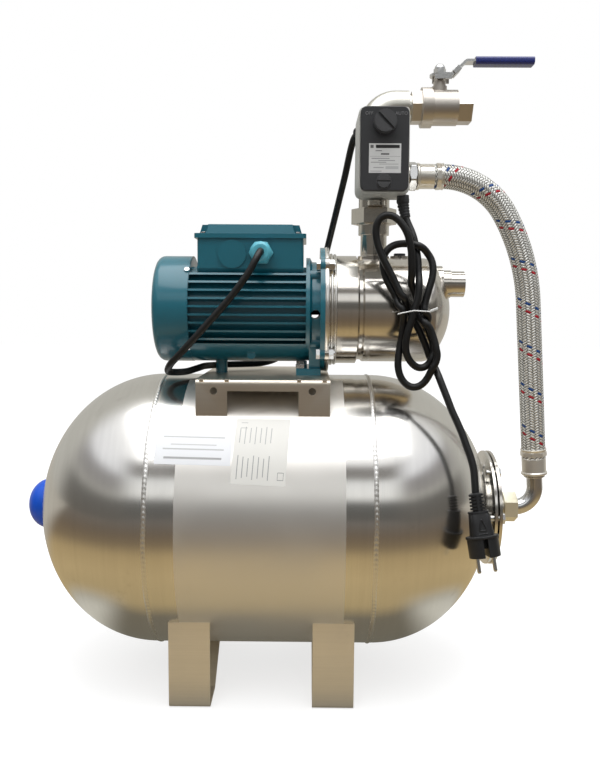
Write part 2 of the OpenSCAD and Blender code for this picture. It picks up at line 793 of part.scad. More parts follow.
// The finned body: fins, smooth lower flank, platform of the terminal box and rear foot
module motor_housing() {
    half = box_depth / 2;
    color("teal") at_shaft() difference() {
        union() {
            x_prism(motor_x, lantern_x) housing_outline();
            x_prism(box_x, box_x + box_len) polygon([
                [-half, box_z], [half, box_z], [half, box_z - 3], [frame_r - 14, box_z - 9],
                [14 - frame_r, box_z - 9], [-half, box_z - 3]
            ]);
            translate([motor_x + 36, 0, -shaft_rise])
                cylinder(r = rear_foot_r, h = shaft_rise - stator_r);
            translate([lantern_x - 71, -frame_r / 2 - 6, -frame_r]) rotate([90, 0, 0])
                cylinder(r = 5.5, h = 9, center = true);
        }
        x_rod(stator_r + seat_fit, motor_x - 1, lantern_x + 1);
        translate([motor_x - 1, -fin_r, box_z]) cube([motor_len + 2, fin_d, fin_r]);
    }
}
module rear_shield() {
    hub_x = motor_x + shield_t;
    color("teal") at_shaft() difference() {
        x_turned([
            [shaft_hole_r, motor_x - shield_t], [shield_r, motor_x - shield_t],
            [shield_r, motor_x], [stator_r - seat_fit, motor_x], [stator_r - seat_fit, hub_x],
            [rear_race_d / 2 + 6, hub_x], [rear_race_d / 2 + 6, rear_bearing_x + rear_bearing_w + 1],
            [rear_race_d / 2 + seat_fit, rear_bearing_x + rear_bearing_w + 1],
            [rear_race_d / 2 + seat_fit, rear_bearing_x], [shaft_hole_r, rear_bearing_x]
        ]);
        cover_screw_places() translate([0, 0, shield_r - 11])
            cylinder(r = screw_d / 2 + seat_fit, h = 12);
    }
}
module cover_screw_places() {
    for (a = bolt_angles) rotate([a, 0, 0]) translate([motor_x - shield_t / 2, 0, 0]) children();
}
// Rounded hood with a field of round holes for the cooling air
module fan_cover() {
    r = fan_cover_d / 2;
    t = fan_cover_t;
    round_r = 10;
    x1 = motor_x - 0.5;
    x0 = x1 - fan_cover_len;
    pitch = 2 * grille_r + 3;
    color("teal") at_shaft() difference() {
        x_turned(concat(
            [[0, x0]],
            [for (a = [0:15:90]) [r - round_r + round_r * sin(a), x0 + round_r - round_r * cos(a)]],
            [[r, x1], [r - t, x1]],
            [for (a = [90:-15:0]) [
                r - round_r + (round_r - t) * sin(a), x0 + round_r - (round_r - t) * cos(a)
            ]],
            [[0, x0 + t]]
        ));
        for (i = [-9:9], j = [-9:9]) let (y = pitch * (i + j / 2), z = pitch * j * sqrt(3) / 2)
            if (norm([y, z]) < r - round_r - grille_r)
                translate([0, y, z]) x_rod(grille_r, x0 - 1, x0 + t + 1);
        cover_screw_places() translate([0, 0, r - 5])
            cylinder(r = screw_d / 2 + seat_fit, h = 10);
    }
}
// The small screws of the fan cover and the box lid, and the large one of the switch cover
module cover_screws() {
    color("gainsboro") {
        at_shaft() cover_screw_places() {
            translate([0, 0, shield_r - 10]) cylinder(r = screw_d / 2, h = 12);
            translate([0, 0, fan_cover_d / 2]) cylinder(r = 0.9 * screw_d, h = 2);
        }
        at_shaft() lid_screw_places() {
            translate([0, 0, box_top - 10]) cylinder(r = screw_d / 2, h = lid_rim + 11);
            translate([0, 0, box_top + lid_rim]) cylinder(r = 0.9 * screw_d, h = 2.4);
        }
        translate([switch_x, cover_front, switch_z + switch_screw_z]) rotate([90, 0, 0])
            difference() {
                union() {
                    translate([0, 0, -cover_t - 10]) cylinder(r = screw_d / 2, h = cover_t + 11);
                    cylinder(r = switch_screw_r, h = 2.5);
                }
                translate([-10, -1, 1.2]) cube([20, 2, 2]);
            }
    }
}
module cooling_fan() {
    hub_r = 12;
    disc_t = 2;
    x1 = fan_hub_x + fan_hub_w;
    color("whitesmoke") at_shaft() difference() {
        union() {
            x_rod(hub_r, fan_hub_x, x1);
            x_rod(0.7 * fan_d / 2, x1 - disc_t, x1);
            for (k = [0:fan_blades - 1]) rotate([360 * k / fan_blades, 0, 0])
                translate([fan_hub_x, -disc_t / 2, hub_r - 1])
                    cube([fan_hub_w, disc_t, fan_d / 2 - hub_r]);
        }
        x_rod(fan_bore_r, fan_hub_x - 1, x1 + 1);
    }
}
module motor_shaft() {
    x2 = rear_bearing_x + rear_bearing_w + face_gap;
    x3 = front_bearing_x - face_gap;
    color("silver") at_shaft() x_turned([
        [0, rear_end_x], [fan_bore_r, rear_end_x], [fan_bore_r, rear_bearing_x - 0.5],
        [rear_bore_d / 2, rear_bearing_x - 0.5], [rear_bore_d / 2, x2], [shaft_r, x2],
        [shaft_r, x3], [front_bore_d / 2, x3], [front_bore_d / 2, bearing_shoulder],
        [wet_r, bearing_shoulder], [wet_r, shaft_end_x], [0, shaft_end_x]
    ]);
}
module rotor_core() {
    color("darkgray") at_shaft() difference() {
        union() {
            x_rod(rotor_r, pack_x, pack_x + pack_len);
            x_rod(rotor_r - 1.5, pack_x - 6, pack_x + pack_len + 6);
        }
        x_rod(shaft_r, pack_x - 7, pack_x + pack_len + 7);
    }
}
// Laminated pack with its two end windings
module stator() {
    out = stator_r - 2;
    in = rotor_r + air_gap + 2;
    color("sienna") at_shaft() {
        x_ring(stator_r, rotor_r + air_gap, pack_x, pack_x + pack_len);
        for (s = [0, 1]) translate([pack_x + s * pack_len, 0, 0]) mirror([1 - s, 0, 0]) x_turned([
            [in, 0], [out, 0], [out, winding_w - 4], [out - 4, winding_w],
            [in + 4, winding_w], [in, winding_w - 4]
        ]);
    }
}
module bearings() {
    color("gray") at_shaft() {
        x_ring(rear_race_d / 2, rear_bore_d / 2 + run_fit, rear_bearing_x,
            rear_bearing_x + rear_bearing_w);
        x_ring(front_race_d / 2, front_bore_d / 2 + run_fit, front_bearing_x, bearing_shoulder);
    }
}

// Casing bolts stand on ears at 45 degrees, so the same places serve every flange
module bolt_places() {
    for (a = bolt_angles) rotate([a, 0, 0]) translate([0, 0, casing_pcd / 2]) children();
}
module eared_disc(x0, x1) {
    x_rod(flange_r, x0, x1);
    bolt_places() x_rod(ear_r, x0, x1);
}
// Cast lantern between motor and pump: hub, open ring, flange and foot in one piece
module lantern() {
    back = flange_x - lantern_flange_t;
    race_r = front_race_d / 2 + seat_fit;
    hub_r = front_race_d / 2 + 6;
    slab_x = foot_bolt_x - 6.7;
    slab_z = foot_slab_t - shaft_rise;
    color("teal") at_shaft() difference() {
        union() {
            x_turned([
                [shaft_hole_r, bearing_shoulder], [race_r, bearing_shoulder],
                [race_r, front_bearing_x - 2], [hub_r, front_bearing_x - 2],
                [hub_r, lantern_x], [stator_r - 4, lantern_x], [stator_r - 4, lantern_x - 5],
                [stator_r - seat_fit, lantern_x - 5], [stator_r - seat_fit, lantern_x],
                [fin_r - 1, lantern_x], [fin_r - 1, lantern_x + 5],
                [lantern_r, lantern_x + 8], [lantern_r, flange_x],
                [lantern_bore, flange_x], [lantern_bore, lantern_x + 6.4],
                [shaft_hole_r, lantern_x + 6.4]
            ]);
            difference() {
                union() {
                    eared_disc(back, flange_x);
                    bolt_places() translate([0, 0, 60 - casing_pcd / 2]) x_rod(8, lantern_x, back);
                    x_prism(lantern_x + 4.4, back) polygon([
                        [-40, slab_z], [40, slab_z], [48, -lantern_bore], [-48, -lantern_bore]
                    ]);
                }
                x_rod(lantern_bore, lantern_x - 1, flange_x + 1);
            }
            translate([slab_x, -45, -shaft_rise]) cube([32, 90, foot_slab_t]);
        }
        for (s = [-1, 1]) translate([foot_bolt_x, s * foot_bolt_y, -shaft_rise - 1])
            cylinder(r = bolt_d / 2 + seat_fit, h = foot_slab_t + 2);
        bolt_places() x_rod(bolt_d / 2 + seat_fit, back - 1, flange_x + 1);
        translate([back - 6, 0, -6]) rotate([90, 0, 0])
            cylinder(r = 5.8, h = flange_d, center = true);
    }
}
module pump_bolts() {
    head_x = flange_x - lantern_flange_t - head_h;
    nut_start = casing_x + casing_flange_t;
    head_z = plate_z + foot_slab_t;
    color("gainsboro") {
        at_shaft() bolt_places() rotate([30, 0, 0]) {
            x_rod(bolt_d / 2, head_x, nut_start + nut_h + 1.5);
            x_hex(bolt_af, head_x, head_x + head_h);
            difference() {
                x_hex(bolt_af, nut_start, nut_start + nut_h);
                x_rod(bolt_d / 2 + seat_fit, nut_start - 1, nut_start + nut_h + 1);
            }
        }
        for (s = [-1, 1]) translate([foot_bolt_x, s * foot_bolt_y, 0]) {
            translate([0, 0, bracket_z - 1]) cylinder(r = bolt_d / 2, h = head_z - bracket_z + 2);
            translate([0, 0, head_z]) cylinder(r = bolt_af / sqrt(3), h = head_h, $fn = 6);
        }
    }
}

// Terminal box on the motor
module lid_screw_places() {
    in = 8;
    for (x = [in, box_len - in], y = [in - box_depth / 2, box_depth / 2 - in])
        translate([box_x + x, y, 0]) children();
}
module on_box(x, y, z) {
    translate([box_x + x, y - box_depth / 2, z]) children();
}
module terminal_box() {
    w = box_wall;
    color("teal") at_shaft() difference() {
        union() {
            difference() {
                on_box(0, 0, box_z) round_box([box_len, box_depth, box_h], corner_r);
                on_box(w, w, box_z + w)
                    round_box([box_len - 2 * w, box_depth - 2 * w, box_h], corner_r - w / 2);
            }
            lid_screw_places() translate([0, 0, box_z + 1]) cylinder(r = 5.5, h = box_h - 1);
            translate([blank_x, -box_depth / 2, box_z + 15]) rotate([90, 0, 0])
                cylinder(r = blank_d / 2, h = 2);
        }
        lid_screw_places() translate([0, 0, box_top - 12])
            cylinder(r = screw_d / 2 + seat_fit, h = 13);
        translate([gland_x, w - box_depth / 2 + 1, gland_rise]) rotate([90, 0, 0])
            cylinder(r = gland_thread_r + seat_fit, h = w + 2);
    }
}
// The lid's raised top is drawn in towards its upper face, with a pocket at each screw
module box_lid() {
    w = box_wall;
    in = 5.5;
    size_x = box_len + 2 * lid_over;
    size_y = box_depth + 2 * (lid_over - 0.5);
    color("teal") at_shaft() difference() {
        union() {
            on_box(-lid_over, 0.5 - lid_over, box_top) round_box([size_x, size_y, lid_rim], corner_r);
            hull() {
                on_box(in - lid_over, in - lid_over, box_top + lid_rim - 1)
                    round_box([size_x - 2 * in, size_y - 2 * in + 1, 1], corner_r, $fn = 32);
                on_box(in, in, box_top + lid_rim + lid_rise - 1)
                    round_box([box_len - 2 * in, box_depth - 2 * in, 1], corner_r, $fn = 32);
            }
        }
        on_box(18, 6, box_top - 1)
            cube([box_len - 36, box_depth - 12, lid_rim + lid_rise - w + 1]);
        lid_screw_places() {
            translate([0, 0, box_top - 1]) cylinder(r = screw_d / 2 + seat_fit, h = lid_rim + 2);
            translate([0, 0, box_top + lid_rim]) cylinder(r = 6.5, h = lid_rise + 1);
        }
    }
}
module terminal_block() {
    z = box_z + box_wall;
    size = [60, 18, 14];
    pitch = size[0] / 6;
    color("ivory") at_shaft() translate([gland_x - 24, -2 * size[1], z]) difference() {
        cube(size);
        for (k = [0:5]) translate([pitch * (k + 0.5), size[1] / 2, size[2] - 6])
            cylinder(r = 0.3 * pitch, h = 7);
    }
}
module capacitor() {
    r = 17;
    start = box_x + 22;
    color("lightgray") at_shaft() translate([0, box_depth / 2 - box_wall - r - 5, box_z + box_wall + r])
        x_rod(r, start, start + 80);
}
// The box's gland, the switch's rear bushing and the tapered relief of the mains lead
module cable_glands() {
    bore = cable_d / 2 + 0.5;
    color("cadetblue") {
        at_shaft() translate([gland_x, -box_depth / 2, gland_rise]) rotate([90, 0, 0]) difference() {
            union() {
                translate([0, 0, -box_wall - 3]) cylinder(r = gland_thread_r, h = box_wall + 4);
                cylinder(r = gland_d / 2 / cos(22.5), h = 6, $fn = 8);
                translate([0, 0, 5]) cylinder(r = gland_d / 2, h = gland_len - 9);
                translate([0, 0, gland_len - 4]) cylinder(r1 = gland_d / 2, r2 = gland_d / 2 - 3, h = 4);
            }
            translate([0, 0, -20]) cylinder(r = bore, h = 50);
        }
        translate([motor_entry[0], switch_back, motor_entry[1]]) rotate([-90, 0, 0]) difference() {
            cylinder(r1 = 6.3, r2 = 5.8, h = 7);
            translate([0, 0, -1]) cylinder(r = bore, h = 12);
        }
        translate([lead_exit[0], lead_exit[1], switch_z - relief_len]) difference() {
            cylinder(r1 = lead_d / 2 + 1.4, r2 = 8, h = relief_len);
            translate([0, 0, -1]) cylinder(r = lead_d / 2 + 0.4, h = relief_len + 2);
        }
    }
}

// Pump casing: outline of the drawn shell, inwards by off, from the flange to its apex
function casing_side(off) = [
    [drum_a_r - off, drum_a_end - 1.5], [groove_r - off, drum_a_end + 1],
    [groove_r - off, drum_b_x - 1], [drum_b_r - off, drum_b_x + 1.5]
];
function casing_end(off) = concat(
    [for (k = [0:6]) let (a = 90 - (90 - knuckle_a) * k / 6) [
        drum_b_r - knuckle_r + (knuckle_r - off) * sin(a), knuckle_x + (knuckle_r - off) * cos(a)
    ]],
    [for (k = [1:12]) let (a = knuckle_a * (1 - k / 12))
        [(crown_r - off) * sin(a), crown_x + (crown_r - off) * cos(a)]]
);
module casing_solid(off, x0) {
    x_turned(concat([[0, x0], [drum_a_r - off, x0]], casing_side(off), casing_end(off)));
}
module pump_casing() {
    w = casing_wall;
    bead_x = casing_x + casing_flange_t;
    color("silver") at_shaft() difference() {
        union() {
            casing_solid(0, casing_x);
            eared_disc(casing_x, bead_x);
            x_rod(drum_a_r + 0.5, bead_x, bead_x + 4);
            translate([0, 0, suction_rise]) {
                x_rod(pad_r, crown_x + 50, pad_x);
                x_rod(suction_d / 2 + 1.3, crown_x + 60, apex_x + 1);
                x_rod(suction_d / 2, crown_x + 60, suction_x);
            }
            translate([outlet_x, 0, 0]) cylinder(r = fitting_r + 0.7, h = drum_b_r + 2);
            translate([priming_x, 0, 0]) cylinder(r = priming_boss_d / 2, h = priming_top);
        }
        casing_solid(w, casing_x - 1);
        translate([0, 0, suction_rise]) {
            x_rod(pad_r - w, crown_x + 50, pad_x - w);
            x_rod(suction_bore / 2, crown_x + 60, suction_x + 1);
        }
        translate([outlet_x, 0, drum_b_r / 2]) cylinder(r = thread_r, h = drum_b_r);
        translate([priming_x, 0, drum_b_r / 2]) cylinder(r = priming_d / 2 + seat_fit, h = drum_b_r);
        bolt_places() x_rod(bolt_d / 2 + seat_fit, casing_x - 1, bead_x + 1);
    }
}
module seal_plate() {
    color("silver") at_shaft() difference() {
        eared_disc(flange_x, casing_x);
        x_rod(seal_r + seat_fit, flange_x - 1, casing_x + 1);
        bolt_places() x_rod(bolt_d / 2 + seat_fit, flange_x - 1, casing_x + 1);
    }
}
// Casing ring seal and the shaft's mechanical seal
module pump_seals() {
    cord_r = 1.7;
    color("black") at_shaft() {
        translate([casing_x + cord_r, 0, 0]) rotate([0, 90, 0]) rotate_extrude()
            translate([drum_a_r - casing_wall - cord_r - seat_fit, 0]) circle(cord_r);
        x_ring(seal_r, wet_r + run_fit, flange_x - 2, flange_x + 6);
    }
}
// One curved blade, from the hub to the rim, between two circles that meet the centre
module blade_outline(r_in, r_out, t) {
    c = 0.65 * r_out;
    intersection() {
        difference() {
            circle(r_out);
            circle(r_in);
        }
        difference() {
            translate([0, c]) circle(c + t / 2);
            translate([0, c]) circle(c - t / 2);
        }
        translate([0, -r_out]) square([r_out, 2 * r_out]);
    }
}
module impeller() {
    r = impeller_d / 2;
    back = 2.5;
    front = impeller_x + impeller_w;
    color("steelblue") at_shaft() difference() {
        union() {
            x_rod(12, impeller_x, front);
            x_rod(r, impeller_x, impeller_x + back);
            for (k = [0:impeller_blades - 1])
                x_prism(impeller_x + back - 0.5, front - 2)
                    rotate(360 * k / impeller_blades) blade_outline(11, r - 0.5, 2.4);
            x_ring(r, eye_r, front - 2.5, front - 0.5);
            x_ring(eye_r + 2, eye_r, front - 2.5, front + 2);
        }
        x_rod(wet_r, impeller_x - 1, front + 1);
    }
}
// Guide wheel behind the impeller, with the ejector tube that reaches to the suction port
module diffuser() {
    r = drum_a_r - casing_wall - face_gap;
    x1 = diffuser_x + 13;
    color("steelblue") at_shaft() difference() {
        union() {
            x_rod(r, diffuser_x, diffuser_x + 3);
            x_ring(r, r - 3, diffuser_x, x1);
            for (k = [0:6]) x_prism(diffuser_x + 2, x1)
                rotate(360 * k / 7) blade_outline(eye_r + 6, r - 2, 2.4);
            translate([0, 0, suction_rise]) x_rod(ejector_r, diffuser_x + 2, pad_x - casing_wall - face_gap);
        }
        x_rod(eye_r + 3, diffuser_x - 1, diffuser_x + 4);
        translate([0, 0, suction_rise]) x_rod(ejector_r - 3, diffuser_x + 3, pad_x);
    }
}
module priming_plug() {
    color("black") at_shaft() translate([priming_x, 0, 0]) {
        translate([0, 0, priming_top - 11]) cylinder(r = priming_d / 2, h = 12);
        translate([0, 0, priming_top]) cylinder(r = priming_d / 2 + 0.7, h = 3.5);
    }
}

// Outlet column
module union_tail() {
    step = casing_top + tail_len - collar_h;
    color("silver") difference() {
        union() {
            column(thread_r - seat_fit, casing_top - 6, casing_top + 4);
            column(pipe_d / 2, casing_top + 3, step + 1);
            intersection() {
                column(fitting_r, step, column_top);
                translate([outlet_x - fitting_r, 1 - fitting_r, step - 1])
                    cube([fitting_d, fitting_d - 2, collar_h + 2]);
            }
            column(union_thread_r, column_top - 1, column_top + union_seat);
        }
        column(bore_r, casing_top - 7, column_top + union_len);
    }
}
module union_nut() {
    color("silver") difference() {
        translate([outlet_x, 0, column_top]) cylinder(r = union_af / sqrt(3), h = union_len, $fn = 6);
        column(union_thread_r + seat_fit, column_top - 1, nut_top - lip_h);
        column(fitting_r + seat_fit, column_top, nut_top + 1);
    }
}
// The manifold carries the switch in front and the hose at its side
module manifold() {
    foot_z = column_top + union_seat + seat_fit;
    lug_z = nut_top + 0.4;
    color("silver") difference() {
        union() {
            column(union_thread_r - 0.2, foot_z, nut_top - lip_h - seat_fit);
            column(fitting_r, foot_z, manifold_top);
            column(thread_r - seat_fit, manifold_top - 1, manifold_top + 14);
            translate([0, 0, hose_z]) x_rod(arm_r, outlet_x, arm_x);
            translate([outlet_x - 9, port_y, lug_z]) cube([18, -port_y, switch_z - lug_z]);
            translate([outlet_x, port_y, lug_z]) cylinder(r = 11.3, h = switch_z - lug_z);
        }
        column(bore_r, foot_z - 1, manifold_top + 15);
        translate([0, 0, hose_z]) x_rod(insert_r + 0.1, outlet_x, arm_x + 1);
    }
}
// A round bend in the X and Z plane, from angle a0 to a1 about its centre
function lap_angle(r) = 180 / PI * lap / r;
module bend_of(x, z, r, a0, a1) {
    translate([x, 0, z]) rotate([90, 0, 0]) rotate([0, 0, a0]) rotate_extrude(angle = a1 - a0)
        translate([r, 0]) children();
}
module outlet_elbow() {
    collar_r = elbow_d / 2 + 0.7;
    turn_z = elbow_z - elbow_r;
    turn_x = outlet_x + elbow_r;
    end_x = valve_x - 3.5;
    color("silver") difference() {
        union() {
            column(collar_r, manifold_top + face_gap, manifold_top + 20);
            column(elbow_d / 2, manifold_top + 19, turn_z);
            bend_of(turn_x, turn_z, elbow_r, 90, 180) circle(elbow_d / 2);
            at_valve() {
                x_rod(elbow_d / 2, turn_x, end_x);
                x_rod(thread_r - seat_fit, end_x - 1, valve_x + 12.5);
            }
        }
        column(thread_r, manifold_top, manifold_top + 14.5);
        column(bore_r, manifold_top, turn_z);
        bend_of(turn_x, turn_z, elbow_r, 90, 180) circle(bore_r);
        at_valve() x_rod(bore_r, turn_x, valve_x + 13);
    }
}

// Ball valve
module valve_end() {
    color("silver") at_valve() difference() {
        union() {
            rotate([30, 0, 0]) x_hex(valve_af, valve_x, collar_x + 1);
            x_rod(collar_d / 2, collar_x, split_x);
        }
        x_rod(thread_r, valve_x - 1, collar_x);
        x_rod(ball_bore / 2, valve_x, split_x);
        x_rod(seat_out_r, seat_x - seat_len, split_x + 1);
    }
}
module valve_body() {
    color("silver") at_valve() difference() {
        union() {
            x_rod(valve_d / 2, split_x, valve_hex_x + 1);
            rotate([30, 0, 0]) x_hex(valve_af, valve_hex_x, valve_end_x);
            translate([stem_x, 0, 0]) {
                cylinder(r = stem_x - split_x - face_gap, h = neck_rise - 6);
                cylinder(r = 8, h = neck_rise);
                cylinder(r = 13 / sqrt(3), h = neck_rise + 5.5, $fn = 6);
            }
        }
        x_rod(valve_d / 2 - 3.5, split_x - 1, 2 * stem_x - seat_x);
        x_rod(seat_out_r, split_x, 2 * stem_x - seat_x + seat_len);
        x_rod(ball_bore / 2, stem_x, valve_end_x + 1);
        x_rod(outlet_thread_d / 2, valve_end_x - outlet_thread_len, valve_end_x + 1);
        translate([stem_x, 0, 0]) cylinder(r = stem_r + run_fit, h = neck_rise + 10);
    }
}
module valve_ball() {
    color("gainsboro") at_valve() difference() {
        translate([stem_x, 0, 0]) sphere(r = ball_r);
        x_rod(ball_bore / 2, stem_x - ball_d, stem_x + ball_d);
        translate([stem_x - 5, -tang_t / 2 - seat_fit, tang_z - seat_fit])
            cube([10, tang_t + 2 * seat_fit, ball_r]);
    }
}
// Each seat bears on the ball with a cone
module valve_seats() {
    out = seat_out_r - seat_fit;
    in = ball_bore / 2;
    far = stem_x - seat_x + seat_len;
    cone = 55;
    clear = ball_r + face_gap;
    color("white") at_valve() translate([stem_x, 0, 0]) for (s = [0, 1]) mirror([s, 0, 0]) x_turned([
        [in, (clear - in * sin(cone)) / cos(cone)], [out, (clear - out * sin(cone)) / cos(cone)],
        [out, far], [in, far]
    ]);
}
module valve_stem() {
    color("gainsboro") at_valve() translate([stem_x, 0, 0]) {
        translate([-4, -tang_t / 2, tang_z]) cube([8, tang_t, ball_r - tang_z + 1]);
        translate([0, 0, ball_r + face_gap])
            cylinder(r = stem_r, h = stem_top - ball_r - face_gap);
    }
}
// Cap nut over the lever's plate
module stem_nut() {
    af = 14;
    h = 7;
    z = neck_rise + 9;
    color("gainsboro") at_valve() translate([stem_x, 0, 0]) difference() {
        union() {
            translate([0, 0, z]) cylinder(r = af / sqrt(3), h = h, $fn = 6);
            translate([0, 0, z + h]) sphere(r = af / 2);
        }
        translate([0, 0, z - 1]) cylinder(r = stem_r + seat_fit, h = stem_top - z + 1.2);
        translate([0, 0, z - af]) cylinder(r = af, h = af);
    }
}
module lever_outline() {
    z = neck_rise + 9 - lever_t / 2;
    strip([
        [stem_x - 10, z], [lever_bend_x, z], [lever_bend_x + lever_step, z + lever_step],
        [stem_x + lever_len, z + lever_step]
    ], lever_t, 5);
}
module y_prism(half) {
    translate([0, half, 0]) rotate([90, 0, 0]) linear_extrude(2 * half) children();
}
// Pressed lever: plate with two side flanges round the neck, then the stepped arm
module valve_lever() {
    w = lever_w / 2;
    plate = neck_rise + 9 - lever_t;
    color("gainsboro") at_valve() difference() {
        union() {
            y_prism(arm_w / 2) lever_outline();
            translate([stem_x, 0, plate]) {
                cylinder(r = w, h = lever_t);
                translate([0, -w, 0]) cube([lever_bend_x - stem_x - 1, lever_w, lever_t]);
                for (s = [-1, 1]) translate([-8, s * (w - lever_t / 2) - lever_t / 2, -5])
                    cube([lever_bend_x - stem_x + 7, lever_t, 5.5]);
            }
        }
        translate([stem_x, 0, plate - 6]) cylinder(r = stem_r + seat_fit, h = lever_t + 20);
    }
}
module sleeve_outline(w, h, r) {
    translate([-w / 2, -h / 2]) {
        translate([r, 0]) square([w - 2 * r, h]);
        translate([0, r]) square([w, h - 2 * r]);
        for (x = [r, w - r], y = [r, h - r]) translate([x, y]) circle(r);
    }
}
module lever_sleeve() {
    z = neck_rise + 9 - lever_t / 2 + lever_step;
    tip = stem_x + lever_len;
    color("navy") at_valve() translate([0, 0, z]) difference() {
        x_prism(tip - sleeve_len, tip + 4) sleeve_outline(arm_w + 3, lever_t + 7, 4);
        translate([tip - sleeve_len - 1, -arm_w / 2 - seat_fit, -lever_t / 2 - seat_fit])
            cube([sleeve_len + 1.3, arm_w + 2 * seat_fit, lever_t + 2 * seat_fit]);
    }
}
// Sliding lock that rides on the arm's slope
module lock_slide() {
    gap_y = arm_w / 2 + face_gap;
    gap_z = lever_t / 2 + face_gap;
    wall = 1.6;
    color("gainsboro") at_valve() translate([lever_bend_x, 0, neck_rise + 9 - lever_t / 2])
        rotate([0, -45, 0]) translate([3, 0, 0]) difference() {
            translate([0, -gap_y - wall, -gap_z - wall])
                cube([lock_len, 2 * (gap_y + wall), 2 * (gap_z + wall)]);
            translate([-1, -gap_y, -gap_z]) cube([lock_len + 2, 2 * gap_y, 2 * gap_z]);
        }
}

// Pressure switch
module at_switch(y) {
    translate([switch_x - switch_w / 2, y, switch_z]) rotate([90, 0, 0]) children();
}
module switch_outline(in) {
    w = switch_w - in;
    h = switch_h - in;
    polygon([
        [6 + in / 2, in], [w - 12, in], [w, 9 + in], [w, h], [12 + in, h],
        [in, h - 18], [in, 6 + in / 2]
    ]);
}
// Moulded housing with its chamfered corners, open in front, and the post of the cover screw
module switch_housing() {
    wall = 3;
    post = 26;
    color("gray") difference() {
        union() {
            difference() {
                at_switch(switch_back) linear_extrude(switch_depth) switch_outline(0);
                at_switch(switch_back - wall) linear_extrude(switch_depth) switch_outline(wall);
            }
            translate([switch_x, switch_front + post, switch_z]) rotate([90, 0, 0]) {
                translate([0, switch_screw_z, 0]) cylinder(r = 5, h = post);
                translate([-1.5, 1, 0]) cube([3, switch_screw_z, post]);
            }
        }
        translate([switch_x, switch_front + 12, switch_z + switch_screw_z]) rotate([90, 0, 0])
            cylinder(r = screw_d / 2 + seat_fit, h = 13);
        translate([lead_exit[0], lead_exit[1], switch_z - 1]) cylinder(r = lead_d / 2 + 0.4, h = 14);
        translate([motor_entry[0], switch_back + 1, motor_entry[1]]) rotate([90, 0, 0])
            cylinder(r = cable_d / 2 + 0.5, h = wall + 2);
    }
}
module switch_cover() {
    r = 5;
    color("black") difference() {
        translate([switch_x - cover_w / 2, switch_front, cover_z]) rotate([90, 0, 0])
            round_box([cover_w, cover_h, cover_t], r);
        translate([switch_x, switch_front + 1, knob_z]) rotate([90, 0, 0])
            cylinder(r = knob_shaft_r + run_fit, h = cover_t + 2);
        translate([switch_x, switch_front + 1, switch_z + switch_screw_z]) rotate([90, 0, 0])
            cylinder(r = screw_d / 2 + seat_fit, h = cover_t + 2);
    }
}
module switch_knob() {
    color("black") translate([switch_x, cover_front - face_gap, knob_z]) rotate([90, 0, 0])
        difference() {
            union() {
                cylinder(r = knob_d / 2, h = knob_h - 2);
                translate([0, 0, knob_h - 2.5]) cylinder(r = knob_d / 2 - 1, h = 2.5);
                translate([0, 0, -cover_t - 6]) cylinder(r = knob_shaft_r, h = cover_t + 7);
            }
            rotate([0, 0, -45]) translate([-knob_d, -1.7, knob_h - 4]) cube([2 * knob_d, 3.4, 5]);
        }
}
// Diaphragm, spring and contact block, standing on each other
module switch_works() {
    floor_z = switch_z + 3;
    y = port_y - 8;
    color("ivory") {
        translate([switch_x, y, floor_z]) cylinder(r = 15, h = 6);
        translate([switch_x, y, floor_z + 6]) cylinder(r = 8, h = 28);
        translate([switch_x - 20, switch_back - 46, floor_z + 34]) cube([40, 42, 32]);
    }
}

// Hose, in the plane through the column and the tank's mouth
// Crimped ferrule along +X from its fitting, with the insert inside the hose
module ferrule() {
    step = ferrule_len / 5;
    difference() {
        union() {
            x_rod(ferrule_d / 2 - 0.5, 0, ferrule_len);
            for (k = [0:4]) x_rod(ferrule_d / 2, k * step + 1, (k + 1) * step - 1);
        }
        x_rod(hose_d / 2 + seat_fit, 0, ferrule_len + 1);
    }
    x_ring(insert_r, insert_bore, -1, ferrule_len);
}
module hose_end_upper() {
    color("silver") translate([0, 0, hose_z]) {
        translate([hose_x, 0, 0]) ferrule();
        difference() {
            union() {
                x_hex(end_af, arm_x, hose_x);
                x_rod(insert_r, arm_x - 8, arm_x + 1);
            }
            x_rod(insert_bore, arm_x - 9, hose_x + 1);
        }
    }
}
// The hose's route as solid rods; each bend is a hair thinner and laps into its neighbour
module hose_rods(r, x0, x1) {
    bend_x = hose_start + hose_run;
    translate([x0, 0, hose_z]) rotate([0, 90, 0]) cylinder(r = r, h = bend_x - x0);
    bend_of(bend_x, hose_z - hose_r1, hose_r1, 90 - bend_1, 90 + lap_angle(hose_r1))
        circle(r - hair);
    bend_of(bend_1_x - hose_r2 * sin(bend_1), bend_1_z - hose_r2 * cos(bend_1), hose_r2,
        slope - lap_angle(hose_r2), 90 - bend_1 + lap_angle(hose_r2)) circle(r - 2 * hair);
    translate([bend_2_x, 0, bend_2_z]) rotate([0, 180 - slope, 0])
        cylinder(r = r, h = drop + ferrule_len + x1);
}
module braided_hose() {
    color("lightgray") difference() {
        hose_rods(hose_d / 2, hose_x + face_gap, -face_gap);
        hose_rods(hose_bore / 2, hose_x - 1, 1);
    }
}
